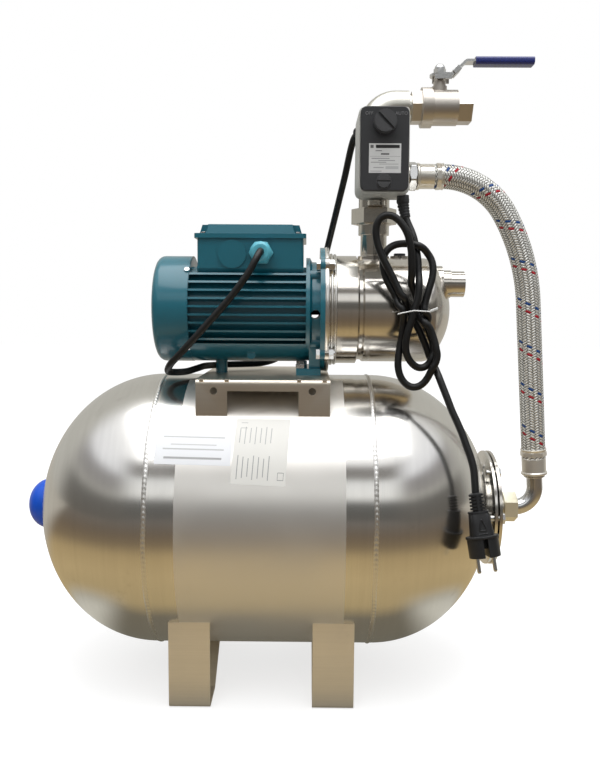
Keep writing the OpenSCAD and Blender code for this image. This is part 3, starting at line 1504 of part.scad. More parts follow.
module hose_end_lower() {
    straight = ferrule_gap / cos(slope);
    collar_x = nut_x + 8.3;
    color("silver") {
        translate([hose_end_x + ferrule_len * sin(slope), 0, hose_end_z - ferrule_len * cos(slope)])
            rotate([0, -90 - slope, 0]) {
                ferrule();
                x_ring(ferrule_d / 2, insert_bore, -3, 0);
                x_ring(tube_d / 2, insert_bore, -straight, -2);
            }
        bend_of(turn_x, turn_z, tube_r, -90 - lap_angle(tube_r), slope + lap_angle(tube_r))
            difference() {
                circle(tube_d / 2 - hair);
                circle(insert_bore - hair);
            }
        at_tank() {
            x_ring(tube_d / 2, insert_bore, collar_x, turn_x);
            x_ring(port_thread_r - seat_fit, insert_bore, collar_x, collar_x + 2.5);
        }
    }
}
module hose_nut() {
    step = nut_x + 11;
    color("silver") at_tank() difference() {
        x_hex(hose_nut_af, nut_x + seat_fit, nut_x + hose_nut_len);
        x_rod(port_thread_r + seat_fit, nut_x - 1, step);
        x_rod(tube_d / 2 + seat_fit, nut_x, nut_x + hose_nut_len + 1);
    }
}

// Cables
module motor_cable() {
    color("black") translate([0, 0, plate_z]) swept(cable_route, cable_d / 2, 10);
}
module mains_cord() {
    color("black") {
        translate([0, 0, switch_z]) swept(lead_top, lead_d / 2, 10);
        swept(lead_tail, lead_d / 2, 10);
    }
}
// The spare length of the lead, folded into a hank that is tied at its waist
module cord_hank() {
    color("black") translate([0, hank_y, plate_z]) rotate([90, 0, 0]) linear_extrude(hank_t) {
        for (part = [hank_top, hank_low]) hull() for (c = part)
            translate([c[0], c[1]]) circle(c[2], $fn = 32);
    }
}
module at_plug() {
    translate(plug_entry) rotate([-plug_tilt, -plug_lean, 0]) mirror([0, 0, 1]) children();
}
// Two-pin plug: ribbed relief, body, thin flange and two half-round cheeks
module mains_plug() {
    face = plug_flange + plug_face;
    color("black") at_plug() difference() {
        union() {
            translate([0, 0, 0.3]) cylinder(r1 = lead_d / 2 + 1.2, r2 = 7.2, h = 17);
            for (k = [0:3]) translate([0, 0, 2 + 4 * k]) cylinder(r = 7.4, h = 2);
            translate([0, 0, 17]) cylinder(r1 = 11, r2 = 16, h = 8);
            translate([0, 0, 24]) cylinder(r = 16, h = plug_flange - 22);
            translate([0, 0, plug_flange - 3]) cylinder(r = plug_d / 2, h = 3);
            translate([0, 0, plug_flange - 1]) cylinder(r = plug_d / 2 - 1, h = plug_face + 1);
        }
        for (s = [-1, 1]) translate([-2, s * plug_d / 2 - 3, plug_flange]) cube([4, 6, plug_face + 1]);
        for (s = [-1, 1]) translate([s * plug_d / 2 - 3, -2, plug_flange]) cube([6, 4, plug_face + 1]);
        for (s = [-1, 1]) translate([s * pin_gap / 2, 0, face - 12])
            cylinder(r = pin_d / 2 + seat_fit, h = 13);
        cylinder(r = lead_d / 2 + seat_fit, h = 2, center = true);
    }
}
module plug_pins() {
    face = plug_flange + plug_face;
    color("gainsboro") at_plug() for (s = [-1, 1]) translate([s * pin_gap / 2, 0, face - 11.8]) {
        cylinder(r = pin_d / 2, h = 29);
        translate([0, 0, 29]) cylinder(r1 = pin_d / 2, r2 = pin_d / 2 - 1, h = 1.5);
    }
}

tank_shell();
tank_end_left();
tank_end_right();
tank_membrane();
mouth_cover();
mouth_bolts();
air_valve_stem();
air_valve_pin();
air_valve_cap();
foot_left();
foot_right();
pump_bracket();
motor_housing();
rear_shield();
fan_cover();
cover_screws();
cooling_fan();
motor_shaft();
rotor_core();
stator();
bearings();
lantern();
pump_bolts();
terminal_box();
box_lid();
terminal_block();
capacitor();
cable_glands();
pump_casing();
seal_plate();
pump_seals();
impeller();
diffuser();
priming_plug();
union_tail();
union_nut();
manifold();
outlet_elbow();
valve_body();
valve_end();
valve_ball();
valve_seats();
valve_stem();
stem_nut();
valve_lever();
lever_sleeve();
lock_slide();
switch_housing();
switch_cover();
switch_knob();
switch_works();
hose_end_upper();
braided_hose();
hose_end_lower();
hose_nut();
motor_cable();
mains_cord();
cord_hank();
mains_plug();
plug_pins();
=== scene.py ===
"""Dressed scene of a booster pump set that stands on a horizontal pressure tank.

All sizes are in millimetres in the model's own frame: +Z is up, +X runs from the motor to
the pump, and the origin is on the floor between the feet. Meshes are written in metres.
"""

import json
import logging
import math
from dataclasses import dataclass, field
from enum import Enum
from functools import cache

import bmesh
import bpy
import numpy as np
from mathutils import Matrix, Vector

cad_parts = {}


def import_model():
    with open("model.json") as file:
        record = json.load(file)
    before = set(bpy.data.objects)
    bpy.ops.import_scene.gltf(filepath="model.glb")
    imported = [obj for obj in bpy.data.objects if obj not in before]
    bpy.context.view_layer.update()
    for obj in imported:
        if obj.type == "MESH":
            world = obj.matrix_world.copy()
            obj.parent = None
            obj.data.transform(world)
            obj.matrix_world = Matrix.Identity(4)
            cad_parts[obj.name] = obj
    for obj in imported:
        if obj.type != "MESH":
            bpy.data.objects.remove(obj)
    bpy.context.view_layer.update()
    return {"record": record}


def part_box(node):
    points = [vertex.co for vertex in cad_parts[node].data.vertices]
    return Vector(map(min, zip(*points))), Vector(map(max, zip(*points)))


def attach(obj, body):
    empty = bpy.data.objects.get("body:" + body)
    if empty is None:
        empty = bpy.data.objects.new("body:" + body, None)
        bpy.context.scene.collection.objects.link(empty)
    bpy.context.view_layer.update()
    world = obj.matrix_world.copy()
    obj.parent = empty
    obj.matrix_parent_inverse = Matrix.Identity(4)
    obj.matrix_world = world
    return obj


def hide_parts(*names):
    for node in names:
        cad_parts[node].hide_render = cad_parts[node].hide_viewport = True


LOG = logging.getLogger("pump")
MM = 0.001
MERGE, SLIVER = 2e-6, 1e-6  # metres: points merged, edges dissolved
FLAT = 0.6  # degrees: loose triangles that bend less are one face
EDGE = 32.0  # degrees: edges that bend more are rounded
TANK_RADIUS, TANK_AXIS = 180.0, 220.0  # outside radius of the tank, height of its axis
Points = np.ndarray
Piece = bpy.types.Object
Material = bpy.types.Material
Tree = bpy.types.NodeTree
Node = bpy.types.Node
Socket = bpy.types.NodeSocket
Colour = tuple[float, float, float]
Spot = tuple[float, float, float]
Pair = tuple[float, float]
WHITE: Colour = (1.0, 1.0, 1.0)


class Way(Enum):
    """Direction in which a metal was brushed, as noise frequencies along X, Y and Z."""

    ROUND_X = (900.0, 14.0, 14.0)
    ALONG_X = (14.0, 700.0, 700.0)
    NONE = (160.0, 160.0, 160.0)


class Graph:
    """A node tree that is filled by short calls."""

    def __init__(self, tree: Tree) -> None:
        """Keep the tree that the calls fill."""
        self.tree = tree

    def feed(self, node: Node, inputs: dict) -> Node:
        """Set or link the inputs of a node.

        Args:
            node: the node.
            inputs: values or output sockets by input name or number.

        Returns:
            The same node.
        """
        for key, value in inputs.items():
            if isinstance(value, Socket):
                self.tree.links.new(value, node.inputs[key])
            else:
                node.inputs[key].default_value = value
        return node

    def add(self, kind: str, inputs: dict | None = None, **settings: object) -> Node:
        """Add a node, set its properties and its inputs.

        Args:
            kind: the node's Blender type without the word ShaderNode.
            inputs: values or output sockets by input name or number.
            settings: the node's own properties.

        Returns:
            The new node.
        """
        node = self.tree.nodes.new(f"ShaderNode{kind}")
        for key, value in settings.items():
            setattr(node, key, value)
        return self.feed(node, inputs or {})

    def out(self, kind: str, inputs: dict | None = None, output: object = 0,
            **settings: object) -> Socket:
        """Add a node and return one of its outputs, by its number or name."""
        return self.add(kind, inputs, **settings).outputs[output]

    def math(self, operation: str, *values: object) -> Socket:
        """Do Blender's operation of that name on numbers or sockets."""
        return self.out("Math", dict(enumerate(values)), operation=operation)

    def ramp(self, value: object, low: float, high: float, to_low: float = 0.0,
             to_high: float = 1.0) -> Socket:
        """Map a value smoothly from the range low to high to the range to_low to to_high."""
        return self.out("MapRange", {"Value": value, "From Min": low, "From Max": high,
                                     "To Min": to_low, "To Max": to_high}, "Result",
                        interpolation_type="SMOOTHSTEP")

    def choose(self, pick: object, low: object, high: object) -> Socket:
        """Give low where the pick is 0 and high where it is 1."""
        return self.math("MULTIPLY_ADD", pick, self.math("SUBTRACT", high, low), low)

    def bands(self, value: object, stops: list[tuple[float, Colour]]) -> Socket:
        """Look a colour up along a ramp.

        Args:
            value: the socket that runs from 0 to 1.
            stops: place and colour of each stop, in order.

        Returns:
            The colour.
        """
        node = self.add("ValToRGB", {0: value})
        elements = node.color_ramp.elements
        for element, (place, colour) in zip(elements, (stops[0], stops[-1])):
            element.position, element.color = place, rgba(colour)
        for place, colour in stops[1:-1]:
            elements.new(place).color = rgba(colour)
        return node.outputs[0]

    def mix(self, factor: object, first: object, second: object) -> Socket:
        """Mix two colours or colour sockets; the factor is the share of the second."""
        return self.out("Mix", {0: factor, 6: rgba(first), 7: rgba(second)}, 2, data_type="RGBA")

    def group(self, tree: Tree, inputs: dict) -> object:
        """Set a node group into the tree and return its outputs."""
        return self.add("Group", inputs, node_tree=tree).outputs


def rgba(colour: object) -> object:
    """Give a colour its fourth number; a socket passes unchanged."""
    return (*colour, 1.0) if isinstance(colour, tuple) else colour


def scaled(colour: Colour, share: float) -> Colour:
    """Darken a colour to a share of its brightness."""
    return tuple(share * c for c in colour)


class Groups:
    """The node groups that several finishes share, each built once."""

    @staticmethod
    def fresh(name: str, inputs: dict[str, object], outputs: tuple[str, ...]) -> tuple:
        """Start a node group with its sockets.

        Args:
            name: the group's name.
            inputs: default value by input name; a tuple makes a vector.
            outputs: names of its outputs, which are numbers.

        Returns:
            The graph, the sockets that bring its inputs and the node that takes its outputs.
        """
        tree = bpy.data.node_groups.new(name, "ShaderNodeTree")
        for key, value in inputs.items():
            kind = "NodeSocketVector" if isinstance(value, tuple) else "NodeSocketFloat"
            tree.interface.new_socket(key, in_out="INPUT", socket_type=kind).default_value = value
        for key in outputs:
            tree.interface.new_socket(key, in_out="OUTPUT", socket_type="NodeSocketFloat")
        start = tree.nodes.new("NodeGroupInput")
        return Graph(tree), start.outputs, tree.nodes.new("NodeGroupOutput")

    @staticmethod
    @cache
    def grain() -> Tree:
        """Fine lines left by brushing: stretched noise at two scales.

        Returns:
            The group, with outputs Shade from 0 to 1 and Height.
        """
        g, i, o = Groups.fresh("Grain", {"Vector": (0.0, 0.0, 0.0), "Stretch": (1.0, 1.0, 1.0)},
                               ("Shade", "Height"))
        wide = g.out("VectorMath", {0: i["Vector"], 1: i["Stretch"]}, operation="MULTIPLY")
        fine = g.out("TexNoise", {"Vector": wide, "Scale": 1.0, "Detail": 3.0, "Roughness": 0.65})
        broad = g.out("TexNoise", {"Vector": wide, "Scale": 0.17, "Detail": 2.0, "Roughness": 0.5})
        shade = g.math("MULTIPLY_ADD", broad, 0.45, g.math("MULTIPLY", fine, 0.55))
        g.feed(o, {"Shade": shade, "Height": fine})
        return g.tree

    @staticmethod
    @cache
    def clouds() -> Tree:
        """Slow uneven variation from handling and cleaning, with a few darker smears.

        Returns:
            The group, with outputs Cloud and Smear from 0 to 1.
        """
        g, i, o = Groups.fresh("Clouds", {"Vector": (0.0, 0.0, 0.0), "Scale": 9.0},
                               ("Cloud", "Smear"))
        cloud = g.out("TexNoise", {"Vector": i["Vector"], "Scale": i["Scale"], "Detail": 4.0,
                                   "Distortion": 0.6})
        smear = g.out("TexNoise", {"Vector": i["Vector"], "Detail": 6.0, "Roughness": 0.7,
                                   "Scale": g.math("MULTIPLY", i["Scale"], 3.1)})
        g.feed(o, {"Cloud": g.ramp(cloud, 0.3, 0.7), "Smear": g.ramp(smear, 0.58, 0.78)})
        return g.tree

    @staticmethod
    @cache
    def skin() -> Tree:
        """Close bumps of a casting, a coat of paint or textured plastic.

        Returns:
            The group, with outputs Height and Speck from 0 to 1.
        """
        g, i, o = Groups.fresh("Skin", {"Vector": (0.0, 0.0, 0.0), "Scale": 400.0},
                               ("Height", "Speck"))
        soft = g.out("TexNoise", {"Vector": i["Vector"], "Scale": i["Scale"], "Detail": 3.0})
        cell = g.out("TexVoronoi", {"Vector": i["Vector"],
                                    "Scale": g.math("MULTIPLY", i["Scale"], 1.7)})
        g.feed(o, {"Height": g.math("MULTIPLY_ADD", cell, 0.35, soft),
                   "Speck": g.ramp(cell, 0.05, 0.16, 1.0, 0.0)})
        return g.tree

    @staticmethod
    @cache
    def dust() -> Tree:
        """Dust that settles on faces that look up, thicker in patches.

        Returns:
            The group, with output Dust from 0 to 1.
        """
        g, i, o = Groups.fresh("Dust", {"Vector": (0.0, 0.0, 0.0), "Normal": (0.0, 0.0, 1.0)},
                               ("Dust",))
        up = g.out("SeparateXYZ", {0: i["Normal"]}, 2)
        patch = g.out("TexNoise", {"Vector": i["Vector"], "Scale": 45.0, "Detail": 5.0})
        g.feed(o, {"Dust": g.math("MULTIPLY", g.ramp(up, 0.45, 1.0), g.ramp(patch, 0.35, 0.75))})
        return g.tree

    @staticmethod
    @cache
    def braid() -> Tree:
        """Wire braid on a tube, from a UV map of bundles round (U) and along the tube (V).

        Two families of bundles run along P = U + V and Q = U - V. Bundle i of the first lies
        over bundle j of the second where (i + j) mod 4 is 0 or 1, and under it elsewhere.

        Returns:
            The group, with outputs Height, Red and Blue from 0 to 1.
        """
        g, i, o = Groups.fresh("Braid", {"U": 0.0, "V": 0.0}, ("Height", "Red", "Blue"))
        p, q = (g.math(kind, i["U"], i["V"]) for kind in ("ADD", "SUBTRACT"))
        lane, cross = g.math("FLOOR", p), g.math("FLOOR", q)
        first = g.math("LESS_THAN", g.math("FLOORED_MODULO", g.math("ADD", lane, cross), 4.0), 1.5)
        run_p = g.math("FLOORED_MODULO", g.math("ADD", q, lane), 4.0)
        run_q = g.math("SUBTRACT", g.math("FLOORED_MODULO", g.math("ADD", p, cross), 4.0), 2.0)
        along = g.choose(first, run_q, run_p)
        across = g.choose(first, g.math("FRACT", q), g.math("FRACT", p))
        crown, float_, wires = (
            g.math("ABSOLUTE", g.math("SINE", g.math("MULTIPLY", value, times)))
            for value, times in ((across, math.pi), (along, math.pi / 2), (across, 6 * math.pi)))
        body = g.math("MULTIPLY", g.math("POWER", crown, 0.5), g.math("POWER", float_, 0.35))
        hits = {name: g.math("MULTIPLY", g.math("COMPARE", g.math("FLOORED_MODULO", lane, 16.0),
                                                number, 0.5), first)
                for name, number in (("Blue", 1.0), ("Red", 4.0))}
        g.feed(o, {"Height": g.math("MULTIPLY", body, g.math("MULTIPLY_ADD", wires, 0.16, 0.84)),
                   **hits})
        return g.tree


@dataclass(frozen=True)
class Finish:
    """A finish: base colour and gloss, with grain, clouds, skin bumps and dust to taste.

    Attributes:
        name: the material's name.
        slot: the record's material slot.
        colour: main colour.
        metallic: 1 for bare metal, 0 for paint, plastic and rubber.
        rough: middle roughness.
        dark: colour of smears and hollows.
        way: brushing direction.
        grain: strength of the brushing.
        skin: size of the close bumps as a noise scale, 0 for none.
        bump: depth of the close bumps in millimetres.
        cloud: how far the colour drifts.
        dust: cover of dust on faces that look up.
        coat: clear coat of a gloss paint or moulding.
        anisotropy: stretch of the highlight across the brushing.
    """

    name: str
    slot: str
    colour: Colour
    metallic: float = 1.0
    rough: float = 0.3
    dark: Colour = (0.2, 0.19, 0.18)
    way: Way = Way.NONE
    grain: float = 0.0
    skin: float = 0.0
    bump: float = 0.02
    cloud: float = 0.15
    dust: float = 0.0
    coat: float = 0.0
    anisotropy: float = 0.0

    @cache
    def material(self) -> Material:
        """Build the material, or give the one built before.

        Returns:
            The material.
        """
        mat, g, bsdf = blank_material(self.name)
        where = g.out("TexCoord", output="Object")
        clouds = g.group(Groups.clouds(), {"Vector": where})
        rough = g.math("MULTIPLY_ADD", clouds["Cloud"], self.rough * 0.3, self.rough * 0.85)
        colour = g.mix(g.math("MULTIPLY", clouds["Cloud"], self.cloud), self.colour,
                       scaled(self.colour, 0.82))
        colour = g.mix(g.math("MULTIPLY", clouds["Smear"], self.cloud * 0.7), colour, self.dark)
        bumps = {}
        if self.grain:
            grain = g.group(Groups.grain(), {"Vector": where, "Stretch": self.way.value})
            lines = g.math("MULTIPLY", g.ramp(grain["Shade"], 0.35, 0.65), self.grain)
            colour = g.mix(lines, colour, scaled(self.colour, 0.72))
            rough = g.math("MULTIPLY_ADD", lines, 0.25 * self.rough, rough)
            bumps = {"Normal": g.out("Bump", {"Height": grain["Height"], "Strength": 1.0,
                                              "Distance": 0.02 * MM * self.grain})}
        if self.skin:
            skin = g.group(Groups.skin(), {"Vector": where, "Scale": self.skin})
            bumps = {"Normal": g.out("Bump", {"Height": skin["Height"], "Strength": 1.0,
                                              "Distance": self.bump * MM, **bumps})}
            colour = g.mix(g.math("MULTIPLY", skin["Speck"], 0.12), colour, self.dark)
        if self.dust:
            dust = g.group(Groups.dust(), {"Vector": where,
                                           "Normal": g.out("NewGeometry", output="Normal")})
            cover = g.math("MULTIPLY", dust["Dust"], self.dust)
            colour = g.mix(cover, colour, (0.42, 0.40, 0.36))
            rough = g.math("MULTIPLY_ADD", cover, 0.4, rough)
        g.feed(bsdf, {"Base Color": colour, "Roughness": rough, "Metallic": self.metallic,
                      "Coat Weight": self.coat, "Coat Roughness": 0.12,
                      "Anisotropic": self.anisotropy, "Anisotropic Rotation": 0.25, **bumps})
        if self.anisotropy:
            g.feed(bsdf, {"Tangent": g.out("Tangent", direction_type="RADIAL", axis="X")})
        return mat


@dataclass(frozen=True)
class Moulding(Finish):
    """A finish without metal: paint, plastic, rubber or paper."""

    metallic: float = 0.0


def blank_material(name: str) -> tuple:
    """Make a material with a Principled shader.

    Args:
        name: its name.

    Returns:
        The material, its graph and the shader node.
    """
    mat = bpy.data.materials.new(name)
    mat.use_nodes = True
    return mat, Graph(mat.node_tree), mat.node_tree.nodes["Principled BSDF"]


def printed(name: str, paper: Colour,
            marks: list[tuple[float, float, float, float, float]]) -> Material:
    """Make a pale paper label with plain printed bars and rules.

    Args:
        name: the material's name.
        paper: colour of the ground.
        marks: middle U, middle V, half width, half height and grey level of each bar.

    Returns:
        The material.
    """
    mat, g, bsdf = blank_material(name)
    where = g.add("TexCoord").outputs
    uv = g.add("SeparateXYZ", {0: where["UV"]}).outputs
    clouds = g.group(Groups.clouds(), {"Vector": where["Object"], "Scale": 14.0})
    colour = g.mix(g.math("MULTIPLY", clouds["Cloud"], 0.25), paper, scaled(paper, 0.88))
    for middle_u, middle_v, half_u, half_v, grey in marks:
        inside = g.math("MULTIPLY", g.math("COMPARE", uv[0], middle_u, half_u),
                        g.math("COMPARE", uv[1], middle_v, half_v))
        colour = g.mix(inside, colour, (grey, grey, grey))
    g.feed(bsdf, {"Base Color": colour, "Metallic": 0.0,
                  "Roughness": g.math("MULTIPLY_ADD", clouds["Smear"], 0.15, 0.32)})
    return mat


TANK_STEEL = Finish("tank_satin", "tank_steel", (0.88, 0.865, 0.835), rough=0.19, way=Way.ROUND_X,
                    grain=0.16, cloud=0.22, anisotropy=0.6, dust=0.05)
PUMP_STEEL = Finish("pump_polish", "pump_steel", (0.78, 0.75, 0.70), rough=0.17, way=Way.ROUND_X,
                    grain=0.16, cloud=0.2, anisotropy=0.5, dust=0.06)
SHEET_STEEL = Finish("sheet_satin", "foot_steel", (0.86, 0.78, 0.67), rough=0.33, way=Way.ALONG_X,
                     grain=0.15, cloud=0.25, dust=0.08)
WELD_STEEL = Finish("weld_bead", "tank_steel", (0.92, 0.91, 0.88), rough=0.34, skin=220.0,
                    bump=0.12, cloud=0.3)
FERRULE = Finish("pressed_ferrule", "fitting_steel", (0.97, 0.94, 0.87), metallic=0.85, rough=0.3,
                 skin=160.0, bump=0.03, cloud=0.2)
RIM = Finish("rolled_rim", "pump_steel", (0.90, 0.89, 0.86), rough=0.28, way=Way.ROUND_X,
             grain=0.1)
NICKEL = Finish("nickel_fitting", "fitting_steel", (0.72, 0.69, 0.63), rough=0.2, skin=160.0,
                bump=0.05, cloud=0.25)
CAST_STEEL = Finish("cast_steel", "valve_steel", (0.70, 0.66, 0.61), rough=0.36, skin=900.0,
                    bump=0.06, cloud=0.2)
ELBOW = Finish("cast_elbow", "valve_steel", (0.76, 0.75, 0.69), rough=0.32, skin=700.0, bump=0.06,
               cloud=0.2)
ZINC = Finish("bright_zinc", "zinc", (0.80, 0.81, 0.82), rough=0.18, skin=300.0, cloud=0.3)
GROUND_STEEL = Finish("ground_steel", "shaft_steel", (0.6, 0.6, 0.6), rough=0.22,
                      way=Way.ROUND_X, grain=0.4)
LAMINATION = Finish("lamination_stack", "laminations", (0.2, 0.2, 0.21), rough=0.5,
                    way=Way.ROUND_X, grain=0.9)
COPPER = Finish("copper_windings", "windings", (0.55, 0.26, 0.11), metallic=0.8, rough=0.35,
                way=Way.ROUND_X, grain=0.8)
FOOT = Finish("foot_satin", "foot_steel", (0.88, 0.81, 0.68), metallic=0.72, rough=0.38,
              way=Way.ALONG_X, grain=0.15, cloud=0.2, dust=0.04)
YELLOW_ZINC = Finish("yellow_zinc", "fitting_steel", (0.98, 0.94, 0.76), metallic=0.8,
                     skin=300.0, cloud=0.2)
FILM = Finish("clear_film", "tank_steel", (0.87, 0.85, 0.81), metallic=0.86, rough=0.34,
              cloud=0.05)
BRASS = Finish("turned_brass", "brass", (0.62, 0.42, 0.16), rough=0.25, way=Way.ROUND_X,
               grain=0.4)
CAN = Finish("drawn_can", "capacitor_can", (0.7, 0.7, 0.72), way=Way.ROUND_X, grain=0.3)
TEAL = Moulding("motor_enamel", "teal_paint", (0.008, 0.125, 0.172), rough=0.34,
                dark=(0.003, 0.06, 0.085), skin=240.0, bump=0.03, cloud=0.2, coat=0.7)
GLAND = Moulding("gland_moulding", "gland_plastic", (0.10, 0.42, 0.52), dark=(0.03, 0.1, 0.12),
                 skin=700.0, coat=0.2)
PLUG = Moulding("plug_moulding", "black_plastic", (0.014, 0.0145, 0.016), rough=0.4,
                dark=(0.01, 0.01, 0.01), skin=900.0, bump=0.03, dust=0.03)
KNOB = Moulding("knob_moulding", "black_plastic", (0.060, 0.061, 0.064), rough=0.34,
                dark=(0.03, 0.03, 0.03), skin=1400.0, dust=0.03)
LETTER = Moulding("raised_letter", "black_plastic", (0.19, 0.19, 0.195), rough=0.4, skin=1400.0)
BLACK = Moulding("black_moulding", "black_plastic", (0.034, 0.035, 0.038), rough=0.42,
                 dark=(0.03, 0.03, 0.03), skin=1400.0, bump=0.03, dust=0.04)
GREY = Moulding("grey_moulding", "grey_plastic", (0.50, 0.50, 0.465), rough=0.42,
                dark=(0.12, 0.12, 0.11), skin=900.0, bump=0.03, dust=0.05)
RUBBER = Moulding("black_rubber", "cable_rubber", (0.006, 0.0065, 0.007), rough=0.42,
                  dark=(0.01, 0.01, 0.01), skin=500.0, bump=0.03, dust=0.02)
SEAL = Moulding("seal_black", "seal_rubber", (0.02, 0.02, 0.02), rough=0.5, skin=600.0)
BUTYL = Moulding("butyl_membrane", "membrane_rubber", (0.03, 0.028, 0.025), rough=0.6, skin=300.0)
BLUE_CAP = Moulding("blue_cap", "blue_plastic", (0.001, 0.085, 0.60), dark=(0.0, 0.02, 0.2),
                    skin=500.0, bump=0.01)
VINYL = Moulding("sleeve_vinyl", "blue_vinyl", (0.012, 0.022, 0.15), dark=(0.0, 0.01, 0.06),
                 skin=250.0, bump=0.08, coat=0.3)
IVORY = Moulding("ivory_moulding", "pale_plastic", (0.68, 0.66, 0.58), rough=0.4, skin=700.0)
NORYL = Moulding("filled_moulding", "noryl", (0.03, 0.05, 0.08), rough=0.45, skin=900.0)
PTFE = Moulding("ptfe_seat", "white_seal", (0.8, 0.8, 0.78), rough=0.4, skin=500.0)
PAPER = Moulding("white_tie", "white_seal", (0.82, 0.82, 0.80), rough=0.4, skin=700.0,
                 dark=(0.5, 0.5, 0.48))

# Finish of each node that is carried over with its own mesh.
NODE_FINISH: dict[str, Finish] = {
    "tank_membrane": BUTYL, "mouth_cover": PUMP_STEEL, "mouth_bolts": ZINC,
    "air_valve_stem": BRASS, "air_valve_pin": BRASS, "foot_left": FOOT, "foot_right": FOOT,
    "pump_bracket": SHEET_STEEL, "motor_housing": TEAL, "rear_shield": TEAL, "fan_cover": TEAL,
    "cooling_fan": IVORY, "motor_shaft": GROUND_STEEL, "rotor_core": LAMINATION,
    "stator": COPPER, "bearings": GROUND_STEEL, "lantern": TEAL, "pump_bolts": ZINC,
    "terminal_box": TEAL, "box_lid": TEAL, "terminal_block": IVORY, "capacitor": CAN,
    "pump_casing": PUMP_STEEL, "seal_plate": PUMP_STEEL, "pump_seals": SEAL,
    "impeller": NORYL, "diffuser": NORYL, "priming_plug": BLACK, "union_tail": NICKEL,
    "union_nut": NICKEL, "manifold": NICKEL, "outlet_elbow": ELBOW, "valve_body": CAST_STEEL,
    "valve_end": CAST_STEEL, "valve_ball": GROUND_STEEL, "valve_seats": PTFE,
    "valve_stem": ZINC, "stem_nut": ZINC, "valve_lever": ZINC, "lever_sleeve": VINYL,
    "lock_slide": ZINC, "switch_knob": KNOB, "switch_works": IVORY, "hose_nut": YELLOW_ZINC,
}


def linked(name: str, data: bpy.types.ID) -> Piece:
    """Make an object of a mesh, curve, lamp or camera and put it into the scene.

    Args:
        name: the object's name.
        data: what it shows.

    Returns:
        The object.
    """
    made = bpy.data.objects.new(name, data)
    bpy.context.scene.collection.objects.link(made)
    return made


